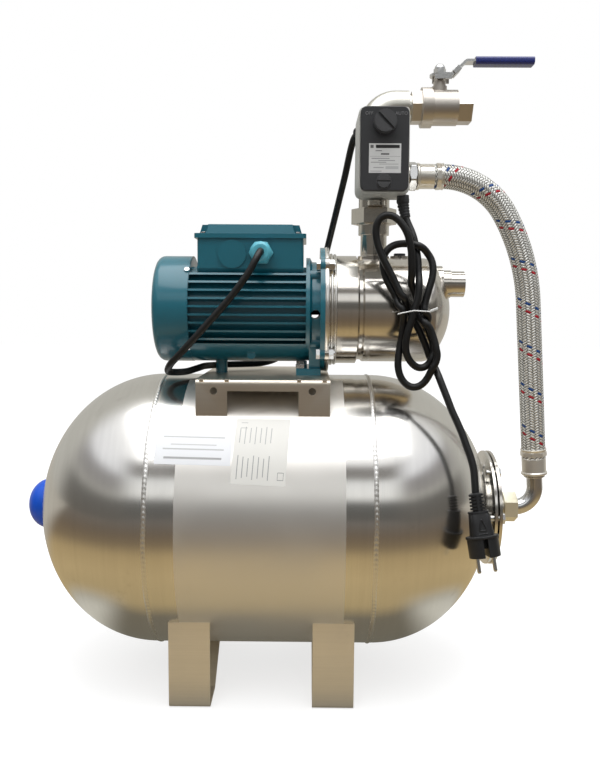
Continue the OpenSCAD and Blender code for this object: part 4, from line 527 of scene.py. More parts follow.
class Maker:
    """Turns arrays of points into finished objects."""

    @staticmethod
    def smooth(data: bpy.types.Mesh, sharp: float) -> None:
        """Shade a mesh smooth but for edges that bend more than an angle in degrees."""
        data.shade_smooth()
        data.set_sharp_from_angle(angle=math.radians(sharp))

    @staticmethod
    def mesh(name: str, points: Points, faces: list, uv: Points | None = None,
             sharp: float = 35.0) -> Piece:
        """Put points and faces into an object, close its seams and turn its faces outwards.

        Args:
            name: the object's name.
            points: array of n x 3 points in millimetres.
            faces: lists of point numbers.
            uv: UV of each face corner in the order of the faces, or None.
            sharp: edges bent more than this many degrees stay sharp.

        Returns:
            The linked object.
        """
        data = bpy.data.meshes.new(name)
        data.from_pydata((np.asarray(points, float) * MM).tolist(), [], faces)
        if uv is not None:
            layer = data.uv_layers.new(name="UVMap")
            layer.data.foreach_set("uv", np.asarray(uv, np.float32).ravel())
        edit = bmesh.new()
        edit.from_mesh(data)
        bmesh.ops.remove_doubles(edit, verts=edit.verts, dist=MERGE)
        bmesh.ops.dissolve_degenerate(edit, edges=edit.edges, dist=SLIVER)
        bmesh.ops.recalc_face_normals(edit, faces=edit.faces)
        edit.to_mesh(data)
        edit.free()
        Maker.smooth(data, sharp)
        return linked(name, data)

    @staticmethod
    def cells(nu: int, nv: int, close_u: bool = False,
              close_v: bool = False) -> tuple[Points, Points]:
        """Number the quads of a grid of nu x nv points.

        Args:
            nu: number of rows.
            nv: number of columns.
            close_u: join the last row to the first.
            close_v: join the last column to the first.

        Returns:
            The four point numbers of each quad, and their UV from 0 to 1 along both sides.
        """
        span_u, span_v = nu if close_u else nu - 1, nv if close_v else nv - 1
        i, j = np.arange(span_u)[:, None], np.arange(span_v)[None, :]
        corner = [(i, j), (i + 1, j), (i + 1, j + 1), (i, j + 1)]
        quads = np.stack([(a % nu) * nv + b % nv for a, b in corner], -1).reshape(-1, 4)
        flat = [np.stack(np.broadcast_arrays(a / span_u, b / span_v), -1) for a, b in corner]
        return quads, np.stack(flat, 2).reshape(-1, 4, 2)

    @staticmethod
    def grid(name: str, points: Points, close_u: bool = False, uv_size: Pair | None = None,
             caps: bool = False, sharp: float = 35.0) -> Piece:
        """Skin a grid of points with quads, its last column joined to the first.

        Args:
            name: the object's name.
            points: array of nu x nv x 3 points.
            close_u: join the last row to the first.
            uv_size: UV reached at the far corner of the grid, or None for no UV map.
            caps: close the first and last row with a face each.
            sharp: angle of sharp edges in degrees.

        Returns:
            The object.
        """
        nu, nv = points.shape[:2]
        quads, uv = Maker.cells(nu, nv, close_u, True)
        faces = quads.tolist()
        uv = uv.reshape(-1, 2) * uv_size if uv_size else None
        if caps:
            faces += [list(range(nv))[::-1], list(range((nu - 1) * nv, nu * nv))]
            if uv is not None:
                uv = np.vstack([uv, np.zeros((2 * nv, 2))])
        return Maker.mesh(name, points.reshape(-1, 3), faces, uv, sharp)

    @staticmethod
    def turned(name: str, profile: Points, centre: Spot = (0, 0, 0), axis: str = "x",
               sides: int = 128, closed: bool = True, af: float | None = None,
               flats: int = 6) -> Piece:
        """Revolve a profile: point = centre + axis * s + r * (cos a, sin a) across it.

        With af, r becomes the smaller of the profile's radius and the polygon's radius
        af / (2 cos(a')), a' being the angle from the middle of the nearest flat, so a
        chamfered nut comes out of the same formula.

        Args:
            name: the object's name.
            profile: array of n x 2 points, radius and place along the axis.
            centre: a point on the axis.
            axis: "x", "y" or "z".
            sides: points round the axis.
            closed: the profile is a closed loop.
            af: size across flats, or None for a round piece.
            flats: number of flats.

        Returns:
            The object.
        """
        angle = np.linspace(0, 2 * np.pi, sides, endpoint=False)
        radius = np.repeat(profile[:, :1], sides, 1)
        if af:
            near = (angle + np.pi / flats) % (2 * np.pi / flats) - np.pi / flats
            radius = np.minimum(radius, af / 2 / np.cos(near)[None, :])
        along = np.repeat(profile[:, 1:], sides, 1)
        a, b = radius * np.cos(angle), radius * np.sin(angle)
        order = {"x": (along, a, b), "y": (b, along, a), "z": (a, b, along)}[axis]
        return Maker.grid(name, np.stack(order, -1) + np.asarray(centre, float), closed)

    @staticmethod
    def swept(name: str, path: Points, radius: object, sides: int = 24,
              uv_size: Pair | None = None) -> Piece:
        """Sweep a circle along a path: point = path + r * (cos a * n + sin a * b).

        n is carried along the path without twist, and b = t x n.

        Args:
            name: the object's name.
            path: array of n x 3 points.
            radius: one radius, one for each point, or one for each point and side.
            sides: points round the tube.
            uv_size: UV at the far end and after one turn.

        Returns:
            The object.
        """
        path = np.asarray(path, float)
        normal, binormal = carried_frames(path)
        angle = np.linspace(0, 2 * np.pi, sides, endpoint=False)[None, :, None]
        r = np.asarray(radius, float)
        r = np.broadcast_to(r if r.ndim == 2 else r.reshape(-1, 1), (len(path), sides))[..., None]
        ring = np.cos(angle) * normal[:, None] + np.sin(angle) * binormal[:, None]
        return Maker.grid(name, path[:, None] + r * ring, uv_size=uv_size, caps=True, sharp=50.0)

    @staticmethod
    def plate(name: str, outline: Points, low: float, high: float, axis: str = "z",
              edge: float = 0.0) -> Piece:
        """Extrude an outline and round its edges.

        Args:
            name: the object's name.
            outline: array of n x 2 points in the two other axes, in their order.
            low: start along the axis.
            high: end along the axis.
            axis: "y" or "z".
            edge: radius of the rounded edges, 0 for none.

        Returns:
            The object.
        """
        n = len(outline)
        level = np.repeat([low, high], n)
        flat = np.vstack([outline, outline])
        order = {"y": (flat[:, 0], level, flat[:, 1]), "z": (flat[:, 0], flat[:, 1], level)}[axis]
        k = np.arange(n)
        sides = np.stack([k, (k + 1) % n, (k + 1) % n + n, k + n], -1).tolist()
        made = Maker.mesh(name, np.stack(order, -1),
                          sides + [k[::-1].tolist(), (k + n).tolist()], sharp=30.0)
        if edge:
            Maker.bevel(made, edge)
        return made

    @staticmethod
    def slab(name: str, outer: Points, inner: Points) -> Piece:
        """Close the space between two grids of points that lie over each other.

        UV runs from 0 to 1 along both sides of each grid.

        Args:
            name: the object's name.
            outer: array of nu x nv x 3 points.
            inner: the same for the other side.

        Returns:
            The object.
        """
        nu, nv = outer.shape[:2]
        quads, uv = Maker.cells(nu, nv)
        ring = np.concatenate([np.arange(nu - 1) * nv, (nu - 1) * nv + np.arange(nv - 1),
                               np.arange(nu - 1, 0, -1) * nv + nv - 1, np.arange(nv - 1, 0, -1)])
        after = np.roll(ring, -1)
        rim = np.stack([ring, after, after + nu * nv, ring + nu * nv], -1)
        faces = np.vstack([quads, quads[:, ::-1] + nu * nv, rim])
        uv = np.vstack([uv, uv[:, ::-1], np.zeros((len(rim), 4, 2))])
        points = np.vstack([outer.reshape(-1, 3), inner.reshape(-1, 3)])
        return Maker.mesh(name, points, faces.tolist(), uv.reshape(-1, 2))

    @staticmethod
    def words(name: str, text: str, size: float, place: Spot, depth: float) -> Piece:
        """Raise a word on a face that looks along -Y.

        Args:
            name: the object's name.
            text: the word.
            size: height of its letters' line.
            place: its middle on the face.
            depth: how far the letters stand out.

        Returns:
            The object.
        """
        curve = bpy.data.curves.new(f"{name}_line", "FONT")
        curve.body, curve.size, curve.extrude = text, size * MM, depth * MM
        curve.align_x, curve.align_y = "CENTER", "CENTER"
        draft = linked(f"{name}_line", curve)
        bpy.context.view_layer.update()
        data = bpy.data.meshes.new_from_object(draft)
        bpy.data.objects.remove(draft)
        data.transform(Matrix.Translation(Vector(place) * MM)
                       @ Matrix.Rotation(math.pi / 2, 4, "X"))
        return linked(name, data)

    @staticmethod
    def bevel(piece: Piece, width: float) -> None:
        """Round the sharp edges of a piece to a radius.

        Args:
            piece: the object.
            width: the radius.
        """
        mod = piece.modifiers.new("edges", "BEVEL")
        mod.width = width * MM
        mod.segments = 2
        mod.limit_method = "ANGLE"
        mod.angle_limit = math.radians(EDGE)
        mod.harden_normals = True
        mod.use_clamp_overlap = True

    @staticmethod
    def from_node(node: str, edge: float = 0.5, name: str = "",
                  levels: Pair = (-1e4, 1e4)) -> Piece:
        """Copy a node's mesh, merge its loose triangles into faces and round its edges.

        Args:
            node: the node's name.
            edge: radius of the rounded edges.
            name: the new piece's name, if the node's own doesn't do.
            levels: lowest and highest Z of the solids to keep.

        Returns:
            The piece that replaces the node.
        """
        data = bpy.data.objects[node].data.copy()
        data.materials.clear()
        edit = bmesh.new()
        edit.from_mesh(data)
        bmesh.ops.remove_doubles(edit, verts=edit.verts, dist=MERGE)
        low, high = (level * MM for level in levels)
        bmesh.ops.delete(edit, geom=[v for v in edit.verts if not low <= v.co.z <= high],
                         context="VERTS")
        bmesh.ops.dissolve_limit(edit, angle_limit=math.radians(FLAT), verts=edit.verts,
                                 edges=edit.edges)
        edit.to_mesh(data)
        edit.free()
        if data.attributes.get("custom_normal"):
            data.attributes.remove(data.attributes["custom_normal"])
        Maker.smooth(data, EDGE)
        made = linked(name or f"{node}_dressed", data)
        Maker.bevel(made, edge)
        return made


def carried_frames(path: Points) -> tuple[Points, Points]:
    """Carry a normal along a path without twist.

    Args:
        path: array of n x 3 points.

    Returns:
        The normals and binormals, n x 3 each.
    """
    tangent = np.gradient(path, axis=0)
    tangent /= np.linalg.norm(tangent, axis=1, keepdims=True)
    start = np.array([0.0, 1.0, 0.0]) if abs(tangent[0][1]) < 0.9 else np.array([1.0, 0.0, 0.0])
    normals = []
    for t in tangent:
        start = start - t * np.dot(start, t)
        start = start / np.linalg.norm(start)
        normals.append(start)
    normal = np.array(normals)
    return normal, np.cross(tangent, normal)


def run_along(path: Points) -> Points:
    """Distance of each point from the first, measured along the path."""
    return np.r_[0, np.cumsum(np.linalg.norm(np.diff(path, axis=0), axis=1))]


def rounded(corners: list, radius: float | list, steps: int = 5) -> Points:
    """Round the corners of a closed outline with parabolic arcs.

    Each corner P becomes (1-s)^2 A + 2s(1-s) P + s^2 B, where A and B lie on its two
    sides at the rounding's reach.

    Args:
        corners: the corner points, two or three numbers each.
        radius: reach of the rounding, one number or one for each corner.
        steps: points in each arc.

    Returns:
        The rounded outline.
    """
    p = np.asarray(corners, float)
    reach = np.broadcast_to(np.asarray(radius, float), (len(p),))[:, None]
    before, after = np.roll(p, 1, 0) - p, np.roll(p, -1, 0) - p
    lb = np.linalg.norm(before, axis=1, keepdims=True)
    la = np.linalg.norm(after, axis=1, keepdims=True)
    a = p + before / np.maximum(lb, 1e-9) * np.minimum(reach, 0.49 * lb)
    b = p + after / np.maximum(la, 1e-9) * np.minimum(reach, 0.49 * la)
    s = np.linspace(0, 1, steps)[None, :, None]
    arcs = (1 - s) ** 2 * a[:, None] + 2 * s * (1 - s) * p[:, None] + s ** 2 * b[:, None]
    out = arcs.reshape(-1, p.shape[1])
    return out[np.r_[True, np.linalg.norm(np.diff(out, axis=0), axis=1) > 1e-6]]


def rectangle(first: Pair, last: Pair, radius: float | list, steps: int = 5) -> Points:
    """Round a rectangle between two opposite corners, the first and the third of its outline."""
    (left, low), (right, high) = first, last
    return rounded([(left, low), (right, low), (right, high), (left, high)], radius, steps)


def smooth_path(points: list, spacing: float = 3.0) -> Points:
    """Run a Catmull-Rom curve through points and space its samples evenly.

    Between B and C: 0.5 (2B + (C-A) s + (2A-5B+4C-D) s^2 + (3B-A-3C+D) s^3).

    Args:
        points: the points to pass through.
        spacing: distance between samples.

    Returns:
        The samples.
    """
    p = np.asarray(points, float)
    p = np.vstack([2 * p[0] - p[1], p, 2 * p[-1] - p[-2]])
    a, b, c, d = (p[k:len(p) - 3 + k, None] for k in range(4))
    s = np.linspace(0, 1, 24, endpoint=False)[None, :, None]
    curve = 0.5 * (2 * b + (c - a) * s + (2 * a - 5 * b + 4 * c - d) * s ** 2
                   + (3 * b - a - 3 * c + d) * s ** 3)
    line = np.vstack([curve.reshape(-1, p.shape[1]), p[-2]])
    run = run_along(line)
    even = np.linspace(0, run[-1], max(int(run[-1] / spacing), 8))
    return np.stack([np.interp(even, run, line[:, k]) for k in range(p.shape[1])], 1)


def dress(piece: Piece, finish: Finish, *replaces: str, body: str = "root") -> Piece:
    """Give a piece its finish, its body and the nodes that it stands for.

    Args:
        piece: the object.
        finish: its finish.
        replaces: nodes that it replaces.
        body: the body that it rides on.

    Returns:
        The same object.
    """
    piece.data.materials.clear()
    piece.data.materials.append(finish.material())
    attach(piece, body)
    if replaces:
        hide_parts(*replaces)
    LOG.info("piece %s on %s", piece.name, body)
    return piece


def label(piece: Piece, paper: Colour, marks: list) -> None:
    """Dress a piece as a paper label with plain bars."""
    dress(piece, PAPER)
    piece.data.materials[0] = printed(f"{piece.name}_print", paper, marks)


@dataclass
class Studio:
    """Camera, lamps, world and floor.

    Attributes:
        eye: place of the camera in millimetres.
        pitch: how far it looks down, in degrees.
        yaw: its turn to the right, in degrees.
        roll: its tilt, in degrees.
        lens: focal length for a 36 mm long side.
        aim: point that the lamps face, in metres.
        floor_half: half the floor's side, in metres.
    """

    eye: Spot = (52.44, -1068.59, 490.14)
    pitch: float = 5.736
    yaw: float = -0.439
    roll: float = 0.371
    lens: float = 36.70
    aim: Spot = (0.0, 0.0, 0.35)
    floor_half: float = 9.0

    def camera(self) -> None:
        """Set the camera where the photograph was taken."""
        p, w, r = (math.radians(a) for a in (self.pitch, self.yaw, self.roll))
        ahead = Vector((math.sin(w) * math.cos(p), math.cos(w) * math.cos(p), -math.sin(p)))
        right = Vector((math.cos(w), -math.sin(w), 0.0))
        up = right.cross(ahead)
        side = right * math.cos(r) + up * math.sin(r)
        top = up * math.cos(r) - right * math.sin(r)
        turn = Matrix((side, top, -ahead)).transposed()
        data = bpy.data.cameras.new("camera")
        data.lens = self.lens
        data.clip_start, data.clip_end = 0.02, 60.0
        camera = linked("camera", data)
        camera.matrix_world = Matrix.Translation(Vector(self.eye) * MM) @ turn.to_4x4()
        bpy.context.scene.camera = camera

    def lamp(self, name: str, place: Spot, size: float, power: float,
             colour: Colour = WHITE, shown: bool = False) -> None:
        """Add a soft square lamp that faces the object.

        Args:
            name: the lamp's name.
            place: its place in metres.
            size: its side in metres.
            power: its power in watts.
            colour: its colour.
            shown: whether gloss and metal show it.
        """
        data = bpy.data.lights.new(name, "AREA")
        data.size, data.energy, data.color = size, power, colour
        lamp = linked(name, data)
        lamp.location = place
        towards = Vector(self.aim) - lamp.location
        lamp.rotation_euler = towards.to_track_quat("-Z", "Y").to_euler()
        lamp.visible_glossy = shown

    def world(self) -> None:
        """White to the camera, brighter overhead to matt faces, a banded room to the metal.

        The bands run by height from 0 (straight down) to 1 (straight up), and differ between
        the front and the sides. The room behind the pump is plain.
        """
        world = bpy.data.worlds.new("studio")
        world.use_nodes = True
        bpy.context.scene.world = world
        g = Graph(world.node_tree)
        rays = g.add("LightPath").outputs
        across, along, up = g.add("SeparateXYZ",
                                  {0: g.out("TexCoord", output="Generated")}).outputs[:3]
        level = g.math("MULTIPLY_ADD", up, 0.5, 0.5)
        front = g.bands(level, [
            (0.0, (0.3, 0.27, 0.22)), (0.46, (0.20, 0.175, 0.15)), (0.50, (0.17, 0.155, 0.14)),
            (0.53, (0.115, 0.11, 0.10)), (0.63, (0.12, 0.12, 0.115)), (0.675, (0.92, 0.92, 0.90)),
            (0.765, (0.85, 0.86, 0.86)), (0.795, (0.20, 0.19, 0.175)), (0.845, (0.20, 0.19, 0.18)),
            (0.875, WHITE)])
        side = g.bands(level, [
            (0.0, (0.3, 0.27, 0.22)), (0.50, (0.13, 0.12, 0.105)), (0.61, (0.14, 0.135, 0.125)),
            (0.65, (0.42, 0.41, 0.38)), (0.69, (0.28, 0.27, 0.26)), (0.745, (0.28, 0.27, 0.27)),
            (0.79, (0.86, 0.87, 0.90)), (1.0, WHITE)])
        room = g.mix(g.ramp(g.math("ABSOLUTE", across), 0.25, 0.62), front, side)
        room = g.mix(g.ramp(along, 0.05, 0.5), room, (0.50, 0.49, 0.45))
        sky = g.mix(g.ramp(up, -0.2, 1.0), (0.16, 0.16, 0.16), (0.95, 0.96, 0.98))
        seen = g.mix(rays["Is Glossy Ray"], sky, room)
        g.feed(world.node_tree.nodes["Background"], {
            "Color": g.mix(rays["Is Camera Ray"], seen, WHITE),
            "Strength": g.choose(rays["Is Glossy Ray"], 1.0, g.ramp(up, 0.8, 0.97, 1.0, 1.25))})

    def floor(self) -> None:
        """Lay a floor that is white to the camera where it is lit, and keeps the soft shadow.

        The metal sees it glow: dark under the tank, which is a painted shadow of the tank, beige
        beside it and darker again further off, by t = d / (d + 0.4) with d the distance in metres
        from a line under the tank. It is paler just past that line's ends and behind the tank.
        """
        half = self.floor_half
        data = bpy.data.meshes.new("floor")
        data.from_pydata([(-half, -half, 0), (half, -half, 0), (half, half, 0), (-half, half, 0)],
                         [], [(0, 1, 2, 3)])
        floor = linked("floor", data)
        floor.location = (0, 0, -0.0005)
        mat, g, bsdf = blank_material("floor")
        rays = g.add("LightPath").outputs
        camera, glossy = rays["Is Camera Ray"], rays["Is Glossy Ray"]
        x, y = g.add("SeparateXYZ", {0: g.out("TexCoord", output="Object")}).outputs[:2]
        past = g.math("MAXIMUM", g.math("SUBTRACT", g.math("ABSOLUTE", x), 0.2), 0.0)
        away = g.math("SQRT", g.math("MULTIPLY_ADD", y, y, g.math("MULTIPLY", past, past)))
        # Painted shadow: the glossy emission is dark near the line under the tank, in place of the
        # tank's own shadow on the floor.
        glossy_floor_with_painted_shadow = g.bands(g.math("DIVIDE", away, g.math("ADD", away, 0.4)), [
            (0.0, (0.15, 0.14, 0.11)), (0.27, (0.18, 0.16, 0.12)), (0.33, (0.44, 0.34, 0.18)),
            (0.45, (0.50, 0.38, 0.20)), (0.57, (0.44, 0.33, 0.17)), (0.66, (0.22, 0.165, 0.10)),
            (0.75, (0.17, 0.13, 0.09)), (0.82, (0.16, 0.13, 0.10)), (0.95, (0.17, 0.15, 0.13))])
        near = g.math("MULTIPLY", g.ramp(past, 0.0, 0.10), g.ramp(away, 0.24, 0.12))
        glossy_floor_with_painted_shadow = g.mix(near, glossy_floor_with_painted_shadow, (0.58, 0.56, 0.49))
        glossy_floor_with_painted_shadow = g.mix(g.ramp(y, 0.15, 0.6), glossy_floor_with_painted_shadow, (0.50, 0.47, 0.41))
        base = g.mix(camera, (0.36, 0.35, 0.33), (0.40, 0.40, 0.40))
        g.feed(bsdf, {"Base Color": g.mix(glossy, base, (0.0, 0.0, 0.0)), "Roughness": 0.9,
                      "Specular IOR Level": 0.0})
        glow = g.out("Emission", {"Color": g.mix(glossy, WHITE, glossy_floor_with_painted_shadow),
                                  "Strength": g.math("MULTIPLY_ADD", camera, 0.72, glossy)})
        g.feed(mat.node_tree.nodes["Material Output"],
               {0: g.out("AddShader", {0: bsdf.outputs[0], 1: glow})})
        data.materials.append(mat)

    def build(self) -> None:
        """Set the whole studio."""
        bpy.context.scene.view_settings.view_transform = "Standard"
        self.camera()
        self.world()
        self.floor()
        self.lamp("key", (-1.3, -1.9, 2.3), 1.6, 7.0, (1.0, 0.985, 0.96))
        self.lamp("fill", (1.9, -1.6, 1.2), 1.8, 3.5, (0.97, 0.985, 1.0))
        self.lamp("top", (0.1, -0.35, 2.3), 2.2, 24.0, shown=True)
        self.lamp("top_fill", (0.1, -0.25, 2.3), 1.5, 18.0)
        self.lamp("rear", (0.3, 2.2, 1.6), 1.6, 8.0)


@dataclass
class Tank:
    """Pressure tank with its weld seams, mouth flange and the air valve's cap.

    Attributes:
        shell: half length between the seams.
        dome_x: place where the ellipse of each end starts.
        dome: height of each end.
        neck: radius of the neck.
        mouth_x: face of the mouth flange.
        mouth: radius of the mouth flange.
        wall: thickness of the steel.
        bore: radius of the air valve's hole, outside and inside.
        cap: radius of the blue cap, height of its dome, place of its rim and its wall.
    """

    shell: float = 135.0
    dome_x: float = 139.0
    dome: float = 161.0
    neck: float = 50.0
    mouth_x: float = 300.0
    mouth: float = 77.0
    wall: float = 2.0
    bore: Pair = (4.7, 5.0)
    cap: tuple[float, float, float, float] = (34.0, 29.2, -297.8, 2.5)

    @staticmethod
    def spun(name: str, profile: Points, sides: int, closed: bool = True) -> Piece:
        """Revolve a profile about the tank's axis, with that many points round it."""
        return Maker.turned(name, profile, (0, 0, TANK_AXIS), sides=sides, closed=closed)

    def end_profile(self, inward: float, stop: float) -> Points:
        """Half section of a domed end: r = R cos a, x = X + H sin a.

        Args:
            inward: distance inside the outer face.
            stop: smallest radius, 0 at the apex.

        Returns:
            The profile from the seam to the apex.
        """
        big, high = TANK_RADIUS - inward, self.dome - inward
        a = np.linspace(0, math.acos(stop / big), 48)
        arc = np.stack([big * np.cos(a), self.dome_x + high * np.sin(a)], 1)
        return np.vstack([[big, self.shell + 0.05], arc])

    def ends(self) -> None:
        """Spin the two ends; the right one carries the neck and the mouth flange."""
        outer, inner = self.end_profile(0.0, 0.0), self.end_profile(self.wall, self.bore[1])
        loop = np.vstack([outer[:-1], [[self.bore[0], outer[-1, 1]]], inner[::-1]])
        dress(self.spun("tank_end_left_spun", loop * np.array([1.0, -1.0]), 192), TANK_STEEL,
              "tank_end_left")
        neck, mouth, face = self.neck, self.mouth, self.mouth_x
        flange = rounded([(neck, face - 20), (neck, face - 4), (mouth, face - 4), (mouth, face),
                          (neck - 2, face), (neck - 2, face - 20)], [6, 5, 0.9, 0.9, 0.5, 4])
        outer, inner = self.end_profile(0.0, neck), self.end_profile(self.wall, neck - 2)
        dress(self.spun("tank_end_right_spun", np.vstack([outer, flange, inner[::-1]]), 192),
              TANK_STEEL, "tank_end_right")

    def barrel(self) -> None:
        """Roll the shell and lay a rippled weld bead over each seam.

        Bead: r = R + (1.5 (0.8 + 0.2 sin(190 a - 3 |s|)) + 0.12 sin(23 a + 2)) cos(pi s / 2)
        - 0.25 for s from -1 to 1 across it; its middle wanders along X by sines of 7 a and 19 a.
        """
        inside = TANK_RADIUS - self.wall
        loop = np.vstack([
            np.linspace((TANK_RADIUS, -self.shell), (TANK_RADIUS, self.shell), 12),
            np.linspace((inside, self.shell), (inside, -self.shell), 12)])
        dress(self.spun("tank_barrel", loop, 256), TANK_STEEL, "tank_shell")
        a = np.linspace(0, 2 * np.pi, 720, endpoint=False)[:, None]
        s = np.linspace(-1, 1, 9)[None, :]
        lift = 1.5 * (0.8 + 0.2 * np.sin(190 * a - 3.0 * np.abs(s))) * np.cos(np.pi * s / 2)
        lift = lift + 0.12 * np.sin(23 * a + 2) * np.cos(np.pi * s / 2) - 0.25
        wander = 0.35 * np.sin(7 * a) + 0.2 * np.sin(19 * a + 1)
        r = TANK_RADIUS + lift
        for name, x in (("weld_left", -self.shell), ("weld_right", self.shell)):
            bead = np.stack(np.broadcast_arrays(x + 3.1 * s + wander, r * np.cos(a),
                                                r * np.sin(a)), -1) + np.array([0, 0, TANK_AXIS])
            dress(Maker.grid(name, bead, close_u=True, sharp=70.0), WELD_STEEL)

    def valve_cap(self) -> None:
        """Mould the air valve's blue cap: a half ellipse with a rim and an inner face.

        Outside r = R cos a, x = X - H (sin a)^0.9; inside the same without the power.
        """
        r, high, rim, wall = self.cap
        a = np.linspace(0, np.pi / 2, 28)
        outer = np.stack([r * np.cos(a), rim - high * np.sin(a) ** 0.9], 1)
        inner = np.stack([(r - wall) * np.cos(a), rim - (high - wall) * np.sin(a)], 1)[::-1]
        outer[0] = (r, rim - 0.6)
        outer[-1, 0] = inner[0, 0] = 0.0
        dress(self.spun("air_cap", np.vstack([outer, inner]), 96, False), BLUE_CAP,
              "air_valve_cap", body="cap")

    def build(self) -> None:
        """Make every piece of the tank."""
        self.barrel()
        self.ends()
        self.valve_cap()


@dataclass
class Labels:
    """Protective film, and labels with plain bars, on the front of the tank.

    A corner is a place along X and an angle up from the tank's front, in degrees.

    Attributes:
        film: corners of the film, from the top left one clockwise.
        sticker: corners of the white sticker.
        plate: corners of the data label.
    """

    film: tuple = ((-100.0, 78.0), (100.0, 78.0), (100.0, -64.0), (-100.0, -64.0))
    sticker: tuple = ((-125.7, 48.1), (-33.7, 47.4), (-35.9, 28.4), (-125.6, 29.0))
    plate: tuple = ((-31.1, 48.9), (34.5, 48.9), (28.9, 20.7), (-35.1, 21.6))

    @staticmethod
    def sheet(name: str, corners: tuple, lift: float, thick: float) -> Piece:
        """Lay a sheet on the tank: (X, -(R + h) cos a, Z + (R + h) sin a).

        X and a run evenly between the four corners as s and t go from 0 to 1.

        Args:
            name: the sheet's name.
            corners: its corners from the top left one clockwise.
            lift: how far its underside lies above the tank.
            thick: its thickness.

        Returns:
            The sheet.
        """
        top_left, top_right, low_right, low_left = (np.array(c) for c in corners)
        s, t = np.linspace(0, 1, 24)[:, None, None], np.linspace(0, 1, 72)[None, :, None]
        flat = (1 - t) * ((1 - s) * low_left + s * low_right)
        flat = flat + t * ((1 - s) * top_left + s * top_right)
        x, a = flat[..., 0], np.radians(flat[..., 1])
        layers = [np.stack([x, -r * np.cos(a), TANK_AXIS + r * np.sin(a)], -1)
                  for r in (TANK_RADIUS + lift + thick, TANK_RADIUS + lift)]
        return Maker.slab(name, *layers)

    def build(self) -> None:
        """Make the film, the white sticker and the data label."""
        dress(self.sheet("tank_film", self.film, 0.05, 0.10), FILM)
        rules = [(0.5, 0.60, 0.40, 0.012, 0.45), (0.5, 0.43, 0.30, 0.012, 0.5),
                 (0.5, 0.33, 0.40, 0.014, 0.45), (0.5, 0.14, 0.38, 0.022, 0.35)]
        fields = [(0.10 + 0.095 * k, 0.24, 0.008, 0.17 - 0.02 * (k % 3), 0.30) for k in range(7)]
        fields += [(0.10 + 0.095 * k, 0.72, 0.007, 0.12 + 0.02 * (k % 2), 0.36) for k in range(7)]
        fields += [(0.90, 0.08, 0.055, 0.004, 0.2), (0.90, 0.18, 0.055, 0.004, 0.2),
                   (0.847, 0.13, 0.004, 0.05, 0.2), (0.953, 0.13, 0.004, 0.05, 0.2),
                   (0.16, 0.93, 0.06, 0.004, 0.3), (0.16, 0.84, 0.06, 0.004, 0.3)]
        for name, corners, paper, marks in (
                ("tank_sticker", self.sticker, (0.74, 0.75, 0.77), rules),
                ("tank_data_label", self.plate, (0.70, 0.69, 0.65), fields)):
            label(self.sheet(name, corners, 0.16, 0.14), paper, marks)


@dataclass
class Switch:
    """Pressure switch: housing, cover with its words and label, and the cover's screw.

    Attributes:
        back: rear face of the housing.
        front: joint between housing and cover.
        face: front of the cover.
        screw: place of the cover's screw, X and Z.
        head: radius of its head.
        lead: axis of the mains lead's boss, X and Y.
    """

    back: float = -22.3
    front: float = -88.1
    face: float = -95.3
    screw: Pair = (144.5, 642.8)
    head: float = 7.8
    lead: Pair = (172.0, -60.0)

    def case(self) -> None:
        """Make the housing, its cover and the boss of the mains lead."""
        body = rounded([(113.8, 732.6), (175.6, 732.6), (176.2, 630.4), (113.4, 630.4)],
                       [9, 6, 6, 11], 7)
        dress(Maker.plate("switch_body", body, self.front, self.back, "y", 1.8), GREY,
              "switch_housing")
        lid = rounded([(115.3, 731.4), (174.0, 731.4), (174.4, 631.6), (116.2, 631.6)], 8.5, 7)
        dress(Maker.plate("switch_lid", lid, self.face, self.front + 0.2, "y", 1.5), BLACK,
              "switch_cover")
        boss = rounded([(0, 621.9), (7.6, 621.9), (8.0, 622.6), (7.4, 631.5), (0, 631.5)],
                       [0, 0.4, 0.4, 0.2, 0], 3)
        dress(Maker.turned("lead_boss", boss, (*self.lead, 0), "z", 64, closed=False), BLACK)

    def details(self) -> None:
        """Make the screw with its ring, the two words and the label."""
        x, z = self.screw
        near, far = self.head + 0.1, self.head + 1.5
        ring = rounded([(near, self.face + 0.6), (near, self.face - 0.9),
                        (far, self.face - 0.9), (far, self.face + 0.6)], 0.6)
        dress(Maker.turned("screw_ring", ring, (x, 0, z), "y", 72), KNOB)
        dress(Maker.from_node("cover_screws", 0.4, "switch_screw", (620, 700)), KNOB,
              "cover_screws")
        dress(Maker.from_node("cover_screws", 0.4, levels=(0, 620)), ZINC, "cover_screws")
        for text, place_x in (("OFF", 125.6), ("AUTO", 164.4)):
            place = (place_x, self.face - 0.1, 722.6)
            dress(Maker.words(f"word_{text.lower()}", text, 5.4, place, 0.25), LETTER)
        marks = [(0.58, 0.895, 0.37, 0.055, 0.02), (0.09, 0.895, 0.05, 0.055, 0.12),
                 (0.30, 0.75, 0.10, 0.014, 0.18), (0.50, 0.64, 0.13, 0.028, 0.12),
                 (0.50, 0.56, 0.47, 0.005, 0.25), (0.36, 0.49, 0.28, 0.012, 0.22),
                 (0.55, 0.42, 0.26, 0.012, 0.25), (0.30, 0.36, 0.24, 0.012, 0.25),
                 (0.62, 0.30, 0.30, 0.010, 0.3), (0.30, 0.18, 0.16, 0.014, 0.3),
                 (0.72, 0.18, 0.20, 0.05, 0.45), (0.22, 0.06, 0.18, 0.012, 0.3)]
        s, t = np.linspace(0, 1, 2)[:, None], np.linspace(0, 1, 2)[None, :]
        side, up = np.broadcast_arrays(126.1 + 38.6 * s, 652.8 + 34.7 * t)
        layers = [np.stack([side, np.full_like(side, y), up], -1)
                  for y in (self.face - 0.25, self.face + 0.05)]
        label(Maker.slab("switch_label", *layers), (0.62, 0.62, 0.61), marks)

    def build(self) -> None:
        """Make every piece of the switch but its knob and works."""
        self.case()
        self.details()


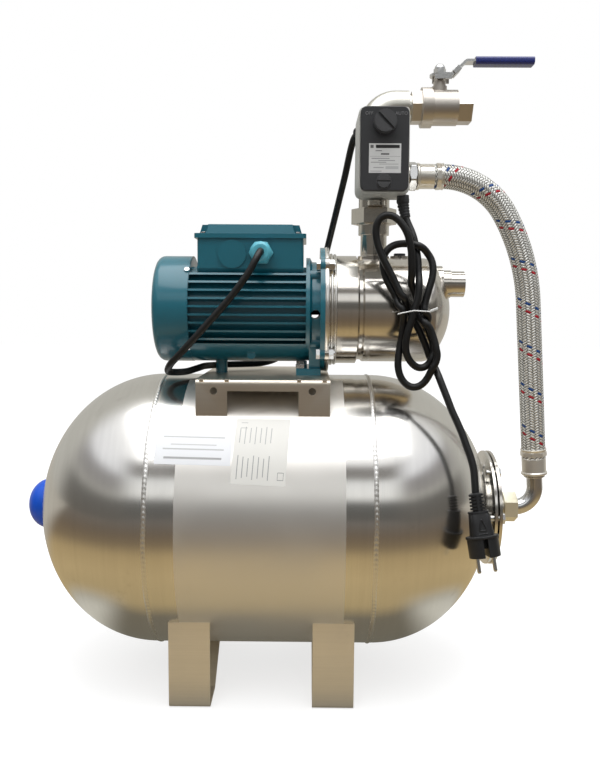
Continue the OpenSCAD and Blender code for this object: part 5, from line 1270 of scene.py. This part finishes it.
@dataclass
class Trim:
    """Rolled beads and bright rim of the pump's flange, and bend marks of the bracket.

    Attributes:
        shaft: height of the pump's axis.
        flange_x: face of the lantern's flange.
        flange: radius of the pump's flange.
        drum: radius of the first drum.
        bracket: half length of the bracket, height of its top and half its depth.
    """

    shaft: float = 488.3
    flange_x: float = 76.0
    flange: float = 82.0
    drum: float = 71.5
    bracket: Spot = (82.0, 403.3, 115.0)

    def beads(self) -> None:
        """Spin the flange's rim and the two beads beside it: an ellipse turned about the axis."""
        a = np.linspace(0, 2 * np.pi, 24, endpoint=False)
        for name, x, r, wide, high in (
                ("flange_rim", self.flange_x + 2.6, self.flange - 0.9, 2.9, 1.6),
                ("first_bead", self.flange_x + 8.6, self.drum + 0.6, 2.2, 2.4),
                ("second_bead", self.flange_x + 13.4, self.drum + 0.3, 2.0, 1.9)):
            loop = np.stack([r + high * np.cos(a), x - wide * np.sin(a)], 1)
            dress(Maker.turned(name, loop, (0, 0, self.shaft), sides=256), RIM)

    def marks(self) -> None:
        """Set small bend marks at the corners of the bracket's front and back edges."""
        half, top, deep = self.bracket
        for side, word in ((-1, "front"), (1, "back")):
            near, far = sorted((side * (deep + 0.5), side * (deep - 5)))
            for number, x in enumerate((-half + 7, -half + 38, half - 38, half - 7)):
                mark = rectangle((x - 2.6, top - 1.9), (x + 2.6, top + 0.55), 1.0, 4)
                dress(Maker.plate(f"bend_mark_{word}_{number}", mark, near, far, "y", 0.4),
                      SHEET_STEEL)

    def build(self) -> None:
        """Make every piece of trim."""
        self.beads()
        self.marks()


@dataclass
class HoseEnds:
    """Crimped ends of the hose: hexagon and ferrule above, ferrule and bent tube below.

    Attributes:
        height: height of the upper end's axis.
        hex_x: face of its hexagon.
        hose_x: face of its ferrule.
        end: where the hose ends in the lower ferrule, X and Z.
        slope: lean of the lower ferrule, in degrees.
        reach: distance from that end to the ferrule's lower face.
        turn: centre of the tube's bend, X and Z.
        turn_r: radius of the bend.
        tube: radius of the tube.
        collar_x: end of the tube in the swivel nut.
    """

    height: float = 664.3
    hex_x: float = 186.0
    hose_x: float = 196.0
    end: Pair = (363.593, 300.798)
    slope: float = 4.0
    reach: float = 35.0
    turn: Pair = (340.289, 247.0)
    turn_r: float = 27.0
    tube: float = 10.6
    collar_x: float = 331.3

    @staticmethod
    def sleeve() -> Points:
        """Half section of a ferrule: rolled rim, straight body, groove and flared lip.

        Returns:
            Radius and distance along it.
        """
        return rounded([(12.0, 0.2), (16.9, 0.2), (17.5, 1.4), (17.5, 3.0), (16.1, 4.2),
                        (16.1, 22.6), (14.9, 24.0), (14.9, 25.2), (16.2, 26.6), (16.6, 32.5),
                        (17.6, 35.0), (16.7, 35.6), (12.0, 35.6)],
                       [0, *[0.8] * 8, 1, 0.5, 0.5, 0])

    @staticmethod
    def place(piece: Piece, lean: float, spot: Pair) -> Piece:
        """Turn a piece made along +X about Y and move it.

        Args:
            piece: the piece, made at the origin.
            lean: turn about Y in degrees.
            spot: its place, X and Z.

        Returns:
            The same piece.
        """
        piece.data.transform(Matrix.Translation(Vector((spot[0], 0, spot[1])) * MM)
                             @ Matrix.Rotation(math.radians(lean), 4, "Y"))
        return piece

    def ferrule(self, name: str, lean: float, spot: Pair) -> None:
        """Spin a ferrule, with a crimped eight-sided ring over its end.

        Args:
            name: upper or lower, the end of the hose that it holds.
            lean: turn about Y in degrees.
            spot: its place, X and Z.
        """
        spun = Maker.turned(f"{name}_sleeve", self.sleeve(), sides=96, closed=False)
        dress(self.place(spun, lean, spot), FERRULE, f"hose_end_{name}")
        crimp = rectangle((15.0, 26.0), (17.6, 31.8), 0.8)
        ring = Maker.turned(f"{name}_crimp", crimp, sides=96, af=33.4, flats=8)
        dress(self.place(ring, lean, spot), FERRULE)

    def build(self) -> None:
        """Make both ends."""
        nut = rounded([(9.0, 0.2), (17.4, 0.2), (19.4, 1.8), (19.4, 8.0), (17.4, 9.6),
                       (9.0, 9.6)], [0.2, 0.6, 0.8, 0.8, 0.6, 0.2])
        piece = Maker.turned("hose_hexagon", nut, sides=144, af=34.0)
        piece.data.transform(Matrix.Rotation(math.radians(-9), 4, "X"))
        dress(self.place(piece, 0, (self.hex_x, self.height)), ZINC, "hose_end_upper")
        self.ferrule("upper", 0.0, (self.hose_x, self.height))
        lean = math.radians(self.slope)
        low = (self.end[0] + self.reach * math.sin(lean),
               self.end[1] - self.reach * math.cos(lean))
        self.ferrule("lower", -90 - self.slope, low)
        a = np.linspace(-lean, np.pi / 2, 40)
        bend = np.stack([self.turn[0] + self.turn_r * np.cos(a), 0 * a,
                         self.turn[1] - self.turn_r * np.sin(a)], 1)
        path = np.vstack([[low[0], 0, low[1]], bend, [self.collar_x, 0, bend[-1, 2]]])
        fine = np.vstack([path[:1] + (path[1] - path[0]) * k for k in (0.0, 0.25, 0.5, 0.75)])
        dress(Maker.swept("lower_tube", np.vstack([fine, path[1:]]), self.tube, 48), ZINC,
              "hose_end_lower")
        collar = rectangle((9.5, -3.2), (14.2, 0.6), 0.6)
        ring = Maker.turned("lower_collar", collar, sides=64)
        dress(self.place(ring, -90 - self.slope, low), ZINC)


@dataclass
class Hose:
    """Braided hose between its two ends, in the plane Y = 0.

    Attributes:
        start: end of the upper ferrule, X and Z.
        inside: length of the hose inside that ferrule.
        bends: radius of the upper and of the lower bend.
        turns: slope at the ends of the two bends, in degrees down from +X.
        radius: outside radius.
        bundles: bundles of wire that run round the hose in each direction.
        lead: distance along the hose in which a bundle runs round once.
        fine: points across a bundle.
        depth: depth of the weave.
    """

    start: Pair = (231.0, 664.3)
    inside: float = 34.0
    bends: Pair = (96.0, 270.0)
    turns: Pair = (60.0, 86.0)
    radius: float = 16.0
    bundles: int = 16
    lead: float = 57.0
    fine: int = 5
    depth: float = 0.55

    def line(self) -> Points:
        """Centre line: straight, an arc of each bend in turn, then straight to the lower end.

        Returns:
            Points along the hose.
        """
        x0, z0 = self.start
        upper, lower = self.bends
        first, last = (math.radians(a) for a in self.turns)
        slope = math.radians(90.0 - self.turns[1])
        a = np.linspace(0, first, 50)
        top = np.stack([x0 + upper * np.sin(a), z0 - upper * (1 - np.cos(a))], 1)
        b = np.linspace(first, last, 50)
        cx, cz = top[-1, 0] - lower * math.sin(b[0]), top[-1, 1] - lower * math.cos(b[0])
        low = np.stack([cx + lower * np.sin(b), cz + lower * np.cos(b)], 1)
        box_low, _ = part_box("braided_hose")
        bottom = box_low.z / MM + 1.0
        run = np.linspace(0, (low[-1, 1] - bottom) / math.cos(slope), 60)[1:, None]
        tail = low[-1] + run * np.array([math.sin(slope), -math.cos(slope)])
        head = np.stack([np.linspace(x0 - self.inside, x0, 12, endpoint=False),
                         np.full(12, z0)], 1)
        return np.insert(np.vstack([head, top, low[1:], tail]), 1, 0.0, axis=1)

    @staticmethod
    def weave(u: Points, v: Points) -> Points:
        """Height of the braid at U bundles round and V bundles along, as in Groups.braid.

        Args:
            u: places round the hose.
            v: places along it.

        Returns:
            Heights from 0 to 1.
        """
        p, q = u + v, u - v
        lane, cross = np.floor(p), np.floor(q)
        first = (lane + cross) % 4 < 1.5
        along = np.where(first, (q + lane) % 4, (p + cross) % 4 - 2)
        across = np.where(first, p - lane, q - cross)
        crown = np.abs(np.sin(np.pi * across)) ** 0.5
        return crown * np.abs(np.sin(np.pi / 2 * along)) ** 0.35

    def braid_finish(self) -> Material:
        """Wire braid with red and blue bundles among the bright ones.

        Returns:
            The material.
        """
        mat, g, bsdf = blank_material("wire_braid")
        uv = g.add("SeparateXYZ", {0: g.out("TexCoord", output="UV")}).outputs
        braid = g.group(Groups.braid(), {"U": uv[1], "V": uv[0]})
        height = braid["Height"]
        # Painted shade: the colour darkens where the weave sinks between and under the bundles;
        # the crowns keep the bright steel.
        colour = g.mix(g.ramp(height, 0.30, 0.85), (0.22, 0.22, 0.20), (0.98, 0.98, 0.95))
        colour = g.mix(braid["Red"], colour, (0.42, 0.006, 0.02))
        colour = g.mix(braid["Blue"], colour, (0.006, 0.06, 0.24))
        dyed = g.math("MAXIMUM", braid["Red"], braid["Blue"])
        g.feed(bsdf, {"Base Color": colour, "Metallic": g.math("MULTIPLY_ADD", dyed, -0.6, 0.7),
                      "Roughness": g.ramp(height, 0.3, 0.9, 0.5, 0.32),
                      "Normal": g.out("Bump", {"Height": height, "Strength": 1.0,
                                               "Distance": self.depth * MM})})
        return mat

    def build(self) -> None:
        """Weave the hose: r = R - 0.5 + h w(U, V), in the same steps both ways."""
        line = smooth_path(self.line().tolist(), self.lead / self.bundles / self.fine)
        length = float(run_along(line)[-1])
        along = length / self.lead * self.bundles
        sides = self.bundles * self.fine
        v = np.linspace(0, along, len(line))[:, None]
        u = np.linspace(0, self.bundles, sides, endpoint=False)[None, :]
        radius = self.radius - 0.5 + self.depth * self.weave(u + 0.1, v + 0.1)
        piece = Maker.swept("hose_braid", line, radius, sides, (along, float(self.bundles)))
        piece.data.materials.append(self.braid_finish())
        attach(piece, "root")
        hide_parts("braided_hose")
        LOG.info("piece %s, %.0f mm long", piece.name, length)


@dataclass
class Leads:
    """The motor cable, and the mains lead with its hank, tie, reliefs and glands.

    Attributes:
        radius: radius of both.
        tie_height: height of the tie round the hank.
        tie_wire: radius of the tie.
        relief_length: length of the relief below the switch.
        relief_wide: radius of the relief at its top.
        ridge: distance between the relief's grooves.
        motor_route: the motor cable's points.
        mains_route: the mains lead's points.
    """

    radius: float = 4.5
    tie_height: float = 487.0
    tie_wire: float = 0.8
    relief_length: float = 24.0
    relief_wide: float = 8.0
    ridge: float = 4.0
    motor_route: list = field(default_factory=lambda: [
        (-6, -58, 560), (-6, -74, 560), (-10, -84, 551), (-19, -87, 534), (-33, -87, 514),
        (-50, -86, 493), (-69, -85, 472), (-88, -84, 451), (-106, -80, 432), (-119, -72, 419),
        (-125, -58, 409), (-120, -42, 406), (-106, -30, 406), (-94, -16, 409), (-86, 2, 411),
        (-76, 20, 411), (-58, 36, 411), (-35, 47, 411), (-10, 58, 412), (12, 73, 419),
        (33, 85, 438), (50, 91, 466), (62, 91, 500), (73, 84, 540), (82, 70, 578),
        (90, 54, 612), (97, 38, 642), (103, 24, 668), (107, 14, 688), (110, 6, 702),
        (113, -2, 712), (116.5, -9, 716), (118, -14, 716), (118, -23, 716)])
    mains_route: list = field(default_factory=lambda: [
        (172, -60, 626), (172.6, -60.2, 618.5), (173.9, -61.3, 611.2), (175.5, -63.2, 604.1),
        (177.8, -65.4, 597.3), (180.4, -68, 590.7), (182.8, -71, 584.2), (184.7, -73.8, 577.7),
        (186.3, -75.5, 571), (187.5, -77.6, 563.9), (188.2, -82.4, 556.9), (188.9, -84.7, 549.8),
        (189.3, -86.4, 542.6), (189.4, -88.3, 535.4), (189.9, -91.1, 528.2), (189.8, -94.7, 520.9),
        (189.2, -96.3, 513.7), (188.6, -97, 506.4), (187.1, -97.6, 499.2), (184.8, -97.9, 492),
        (182.7, -98.1, 484.8), (180.9, -98.1, 477.5), (179, -98.1, 470.2), (177, -98.1, 463),
        (175.4, -97.9, 455.7), (174.4, -97.5, 448.3), (174.7, -96.7, 440.8), (176.5, -95.4, 433.5),
        (180, -94.1, 427), (184.9, -92.7, 421.5), (191.3, -91.3, 417.9), (198.5, -90.1, 418.3),
        (204.2, -90.1, 422.6), (207.5, -90.7, 429.1), (210.3, -89.2, 436.3), (210, -88.1, 443.6),
        (208.3, -87.1, 450.9), (205.9, -86.4, 457.9), (203.4, -86.2, 465), (201.5, -86.1, 472),
        (202.4, -89.8, 480.5), (197.6, -94.4, 486.9), (197.2, -92.8, 493.9), (198.8, -91.9, 501.3),
        (200.7, -91.5, 508.6), (202.8, -90.8, 515.8), (204.9, -89.8, 522.9), (206.6, -88.7, 530.1),
        (207.4, -87.5, 537.5), (206.9, -85.8, 544.9), (204.8, -84.1, 551.8), (200.8, -83.8, 558),
        (195.7, -86.4, 563.4), (189, -87.9, 567.1), (181.6, -84.8, 569), (174.3, -81.4, 570),
        (166.8, -80.8, 569.7), (159.5, -81.4, 567.8), (153.2, -82.2, 563.8), (148.6, -82.8, 557.9),
        (146.3, -83.4, 550.9), (146.2, -83.9, 543.4), (147.5, -84.3, 536), (149.7, -84.9, 528.8),
        (152.8, -85.9, 522), (156.3, -87.3, 515.5), (159.9, -88.7, 509.2), (163, -89.9, 502.9),
        (164.7, -93.5, 495.6), (169.2, -96.7, 489.6), (171.2, -94.6, 482.6), (171.7, -92, 475.4),
        (171.6, -90.2, 468), (170.9, -89.3, 460.6), (169.9, -88.8, 453.1), (168.6, -88.7, 445.7),
        (167.5, -89.3, 438.3), (166.6, -90.2, 430.8), (166.1, -90.8, 423.3), (166.7, -91.3, 415.9),
        (168.6, -91.8, 408.6), (172, -92.3, 402), (177.2, -92.9, 396.6), (184.1, -93.6, 393.7),
        (191.4, -94.3, 394.7), (197.5, -94.9, 398.9), (202, -95.5, 404.9), (205.2, -97.1, 411.7),
        (208.1, -98.7, 418.4), (211.5, -98.9, 425.1), (213.1, -98.9, 433.4), (211.8, -98.8, 440.9),
        (210.3, -97.8, 448.1), (208.2, -96.9, 455.3), (205.7, -96.4, 462.1), (202.5, -96.4, 468.5),
        (197.4, -95.7, 473.6), (192.5, -88.2, 479.8), (192.3, -84.3, 487.3), (190, -85.1, 494.4),
        (188, -86.4, 501.6), (185.9, -86.9, 508.7), (183.3, -87.6, 515.4), (180.5, -90.2, 521.8),
        (180.1, -94.2, 529), (180, -96.4, 536.4), (179.7, -97.3, 543.8), (179.4, -97.7, 551.3),
        (179, -98, 558.8), (177.8, -98.1, 566.3), (176.1, -98.1, 573.6), (173.8, -97.9, 580.7),
        (170.4, -97.4, 587.4), (166, -96.8, 593.5), (160.7, -96.2, 598.7), (154.1, -95.5, 602.2),
        (146.7, -94.7, 602.4), (140.6, -93.9, 598.4), (137.1, -93.3, 591.8), (136.1, -92.9, 584.4),
        (136.7, -92.9, 576.9), (138.3, -93.2, 569.5), (140.5, -93.7, 562.4), (143.3, -94.1, 555.4),
        (146.5, -94.6, 548.6), (150, -95, 541.9), (153.4, -95.4, 535.3), (156.9, -95.8, 528.6),
        (160.2, -96.4, 521.9), (163.4, -97.2, 515.1), (166.7, -98.1, 508.4), (171.3, -97.2, 502.7),
        (174.5, -90.5, 496.5), (176.2, -87.1, 490.2), (180, -84.5, 484.6), (184.3, -81.8, 478.7),
        (188.2, -81.3, 472.3), (191.6, -81.8, 465.6), (194.9, -82, 458.8), (198, -81.9, 452),
        (201.2, -81.4, 445.2), (203.8, -81.1, 438.3), (206.3, -81.1, 431.3), (210.1, -81.1, 424.8),
        (212.2, -84.9, 418.7), (214, -91.3, 413.1), (216.1, -96.8, 406.8), (218.3, -100.1, 400.3),
        (220.7, -102.8, 393.7), (225.5, -108, 380.4), (230.3, -112.6, 366.9), (236.1, -117, 353.8),
        (241.5, -121.5, 340.5), (246, -126.3, 327), (250.7, -130.8, 313.4), (253.8, -135.5, 299.6),
        (254.7, -139.9, 285.2), (255, -142.2, 277), (255.2, -143.4, 272.1), (256, -144.6, 266.3)])

    def tube(self, name: str, path: Points, far_end: str, node_names: tuple[str, ...],
             with_pieces: list, lay: str) -> None:
        """Args:
            name: the piece's name.
            path: its centre line.
            far_end: what it ends in; not used.
            node_names: the nodes that it replaces.
            with_pieces: the pieces on it; not used.
            lay: how it lies; not used.
        """
        piece = dress(Maker.swept(name, path, self.radius, 20), RUBBER, *node_names)

    def tie(self, path: Points) -> list:
        """Draw a white twist tie tight round the strands of the hank.

        For each direction u the band's point is c + R u, c being the strand centre that
        reaches furthest along u; its two ends twist round each other as a double helix.

        Args:
            path: the mains lead's centre line.

        Returns:
            The tie's two pieces.
        """
        z = path[:, 2] - self.tie_height
        centres = path[np.nonzero(z[:-1] * z[1:] <= 0)[0]][:, :2]
        turn = np.linspace(0, 2 * np.pi, 97)
        u = np.stack([np.cos(turn), np.sin(turn)], 1)
        band = centres[np.argmax(centres @ u.T, axis=0)] + (self.radius + 0.7) * u
        rise = np.interp(band[:, 0], [164, 178, 204], [-3.5, 1.2, 0.0])
        ring = smooth_path(np.column_stack([band, self.tie_height + rise]).tolist(), 1.0)
        right = band[np.argmax(band[:, 0])]
        s = np.linspace(0, 1, 60)[:, None]
        spine = np.array([right[0] - 0.5, right[1], self.tie_height]) + s * np.array(
            [9.5, -2.0, 4.0])
        angle = 7 * np.pi * s
        swing = 1.1 * np.hstack([0.3 * np.cos(angle), np.cos(angle), np.sin(angle)])
        ends = np.vstack([spine + swing, (spine - swing)[::-1]])
        return [dress(Maker.swept("twist_tie", ring, self.tie_wire, 10), PAPER),
                dress(Maker.swept("twist_tie_ends", ends, 0.7, 8), PAPER)]

    def relief(self, path: Points) -> Piece:
        """Mould the tapered relief where the mains lead leaves the switch.

        A circle is carried along the lead's own start, s being the way along it. Its radius
        falls evenly by 2.1, and is 0.9 smaller in each groove between s = 3.5 and 22, where
        sin(2 pi s / ridge - 1.2) is above 0. Its last three rings round its end.

        Args:
            path: the mains lead's centre line.

        Returns:
            The relief.
        """
        run = run_along(path)
        s = np.linspace(0, self.relief_length, 97)
        line = np.stack([np.interp(s, run, path[:, k]) for k in range(3)], 1)
        groove = np.clip(4 * np.sin(2 * np.pi * s / self.ridge - 1.2), 0, 1)
        groove = groove * (s > 3.5) * (s < 22)
        outer = self.relief_wide - 2.1 * s / self.relief_length - 0.9 * groove
        outer[-3:] -= np.array([0.2, 0.6, 1.2])
        return dress(Maker.swept("lead_relief", line, outer, 40), BLACK, "cable_glands")

    def glands(self) -> None:
        """Turn the motor cable's gland and the boot at the back of the switch."""
        gland, boot = (-6, 0, 559.8), (118, 0, 716)
        nut = rounded([(4.7, -51), (15.4, -51), (15.4, -55.6), (13.6, -56), (13.6, -65.5),
                       (10.4, -70), (4.7, -70)], [0.2, 0.6, 1.0, 0.5, 0.8, 1.2, 0.2])
        dress(Maker.turned("motor_gland", nut, gland, "y", 144, af=27.4), GLAND, "cable_glands")
        washer = rectangle((4.7, -49.9), (13.2, -51.2), 0.3)
        dress(Maker.turned("gland_washer", washer, gland, "y", 64), RUBBER)
        cone = rounded([(4.6, -22.4), (7.4, -22.4), (7.0, -19), (6.0, -15.3), (4.6, -15.3)],
                       [0.2, 0.7, 1.0, 0.6, 0.2])
        dress(Maker.turned("entry_boot", cone, boot, "y", 64), BLACK, "cable_glands")

    def build(self) -> None:
        """Make both leads, the plug and everything on them."""
        self.tube("motor_lead", smooth_path(self.motor_route), "object", ("motor_cable",), [],
                  "loose")
        path = smooth_path(self.mains_route, 2.0)
        fittings = [*Plug().build(), *self.tie(path), self.relief(path)]
        self.tube("mains_lead", path, "plug", ("mains_cord", "cord_hank"), fittings, "hanging")
        self.glands()


@dataclass
class Plug:
    """Moulded two-pin plug that hangs from the lead.

    Its own frame has the lead's entry at 0 and the pins down -Z.

    Attributes:
        entry: where the lead goes in.
        tilt: its turn away from the tank, in degrees.
        lean: its turn to the right, in degrees.
        flange_z: lower face of the flange.
        flange: radius of the flange.
        cheek: radius of the two cheeks below it.
        face: length of the cheeks.
        slit: width of the gap between them.
        front: place of the grip mark on the body's front.
    """

    entry: Spot = (255.2, -143.4, 272.1)
    tilt: float = 12.0
    lean: float = 8.0
    flange_z: float = -53.0
    flange: float = 19.5
    cheek: float = 18.4
    face: float = 22.0
    slit: float = 5.0
    front: float = -13.4

    @staticmethod
    def loft(name: str, sections: list) -> Piece:
        """Skin sections |x / a|^n + |y / b|^n = 1 along the plug.

        Args:
            name: the piece's name.
            sections: height, a, b and n of each.

        Returns:
            The piece.
        """
        z, a, b, n = (np.array(column, float)[:, None] for column in zip(*sections))
        turn = np.linspace(0, 2 * np.pi, 64, endpoint=False)[None, :]
        cos, sin = np.cos(turn), np.sin(turn)
        x = a * np.sign(cos) * np.abs(cos) ** (2 / n)
        y = b * np.sign(sin) * np.abs(sin) ** (2 / n)
        points = np.stack(np.broadcast_arrays(x, y, z), -1)
        return Maker.grid(name, points, caps=True, sharp=38.0)

    @staticmethod
    def ribs() -> list:
        """Sections of the flexible relief: five ribs with grooves between them.

        Returns:
            The sections.
        """
        rows: list = [(0.6, 5.4, 5.2, 2.2), (0.0, 6.6, 6.2, 2.4)]
        for k in range(5):
            top, wide = -1.0 - 4.0 * k, 8.4 + 0.12 * k
            rows += [(top, wide, 7.6, 2.8), (top - 2.2, wide, 7.6, 2.8),
                     (top - 2.3, 6.4, 6.2, 2.2), (top - 3.9, 6.4, 6.2, 2.2)]
        return rows + [(-21.4, 6.4, 6.2, 2.2)]

    def cheeks(self) -> list:
        """Make the two half discs that hold the pins.

        Returns:
            The right and the left one.
        """
        turn = np.linspace(-1, 1, 40)
        half = math.acos(self.slit / 2 / self.cheek)
        made = []
        for side, word in ((1, "right"), (-1, "left")):
            arc = np.stack([side * self.cheek * np.cos(turn * half),
                            self.cheek * np.sin(turn * half)], 1)
            made.append(Maker.plate(f"plug_cheek_{word}", arc[::side], self.flange_z - self.face,
                                    self.flange_z + 0.5, edge=0.9))
        return made

    def grip(self) -> list:
        """Raise the plain triangle and the bar on the body's front.

        Returns:
            The two pieces.
        """
        mark = rounded([(0.0, -29.5), (4.6, -43.5), (-4.6, -43.5)], 2.4)
        mark = np.vstack([mark, mark[:1]])
        lean_in = self.front + 0.06 * (mark[:, 1] + 43.5)
        bar = [(x, self.front - y, -47.2) for x, y in ((-5, 0.2), (0, 0.3), (5, 0.2))]
        return [Maker.swept("plug_grip", np.column_stack([mark[:, 0], lean_in, mark[:, 1]]),
                            0.8, 10), Maker.swept("plug_bar", bar, 0.8, 10)]

    def build(self) -> list:
        """Make the plug and put it on the lead's end.

        Returns:
            Its pieces, the pins among them.
        """
        relief = self.loft("plug_relief", self.ribs())
        spine = Maker.plate("plug_spine", rectangle((-1.7, -8.7), (1.7, -6), 0.5), -20.8, -1.2)
        body = self.loft("plug_body", [
            (-20.8, 10.6, 10.4, 2.6), (-21.2, 12.3, 12.0, 2.8), (-22.8, 12.5, 12.2, 2.8),
            (-23.2, 11.4, 11.2, 2.8), (-24.0, 11.6, 11.4, 3.4), (-36.0, 12.6, 12.4, 3.6),
            (-46.0, 13.4, 13.2, 3.6), (-49.6, 14.0, 13.8, 3.2), (-50.4, 16.0, 16.0, 2.6)])
        low, high = self.flange_z, self.flange_z + 3.0
        disc = rectangle((0.0, high), (self.flange, low), [0, 0.8, 0.8, 0])
        made = [relief, spine, body,
                Maker.turned("plug_flange", disc, axis="z", sides=96, closed=False),
                *self.cheeks(), *self.grip(),
                Maker.plate("plug_bridge", rectangle((-6, -6), (6, 6), 1.5), low - 12,
                            low + 0.5)]
        place = (Matrix.Translation(Vector(self.entry) * MM)
                 @ Matrix.Rotation(math.radians(-self.lean), 4, "Y")
                 @ Matrix.Rotation(math.radians(-self.tilt), 4, "X"))
        for piece in made:
            piece.data.transform(place)
            dress(piece, PLUG, "mains_plug")
        return [*made, dress(Maker.from_node("plug_pins", 0.6), ZINC, "plug_pins")]


def carry_over(frame: dict) -> None:
    """Dress each node of NODE_FINISH: a copy of its own mesh, with rounded edges.
    """
    bodies = frame["record"]["behaviour"]["bodies"]
    for node, finish in NODE_FINISH.items():
        body = next(name for name, members in bodies.items() if node in members)
        dress(Maker.from_node(node), finish, node, body=body)


def main() -> None:
    """Build the scene piece by piece."""
    logging.basicConfig(level=logging.INFO, format="%(message)s")
    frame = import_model()
    Studio().build()
    Leads().build()
    Tank().build()
    Labels().build()
    Switch().build()
    Trim().build()
    HoseEnds().build()
    Hose().build()
    carry_over(frame)


if __name__ == "__main__":
    main()
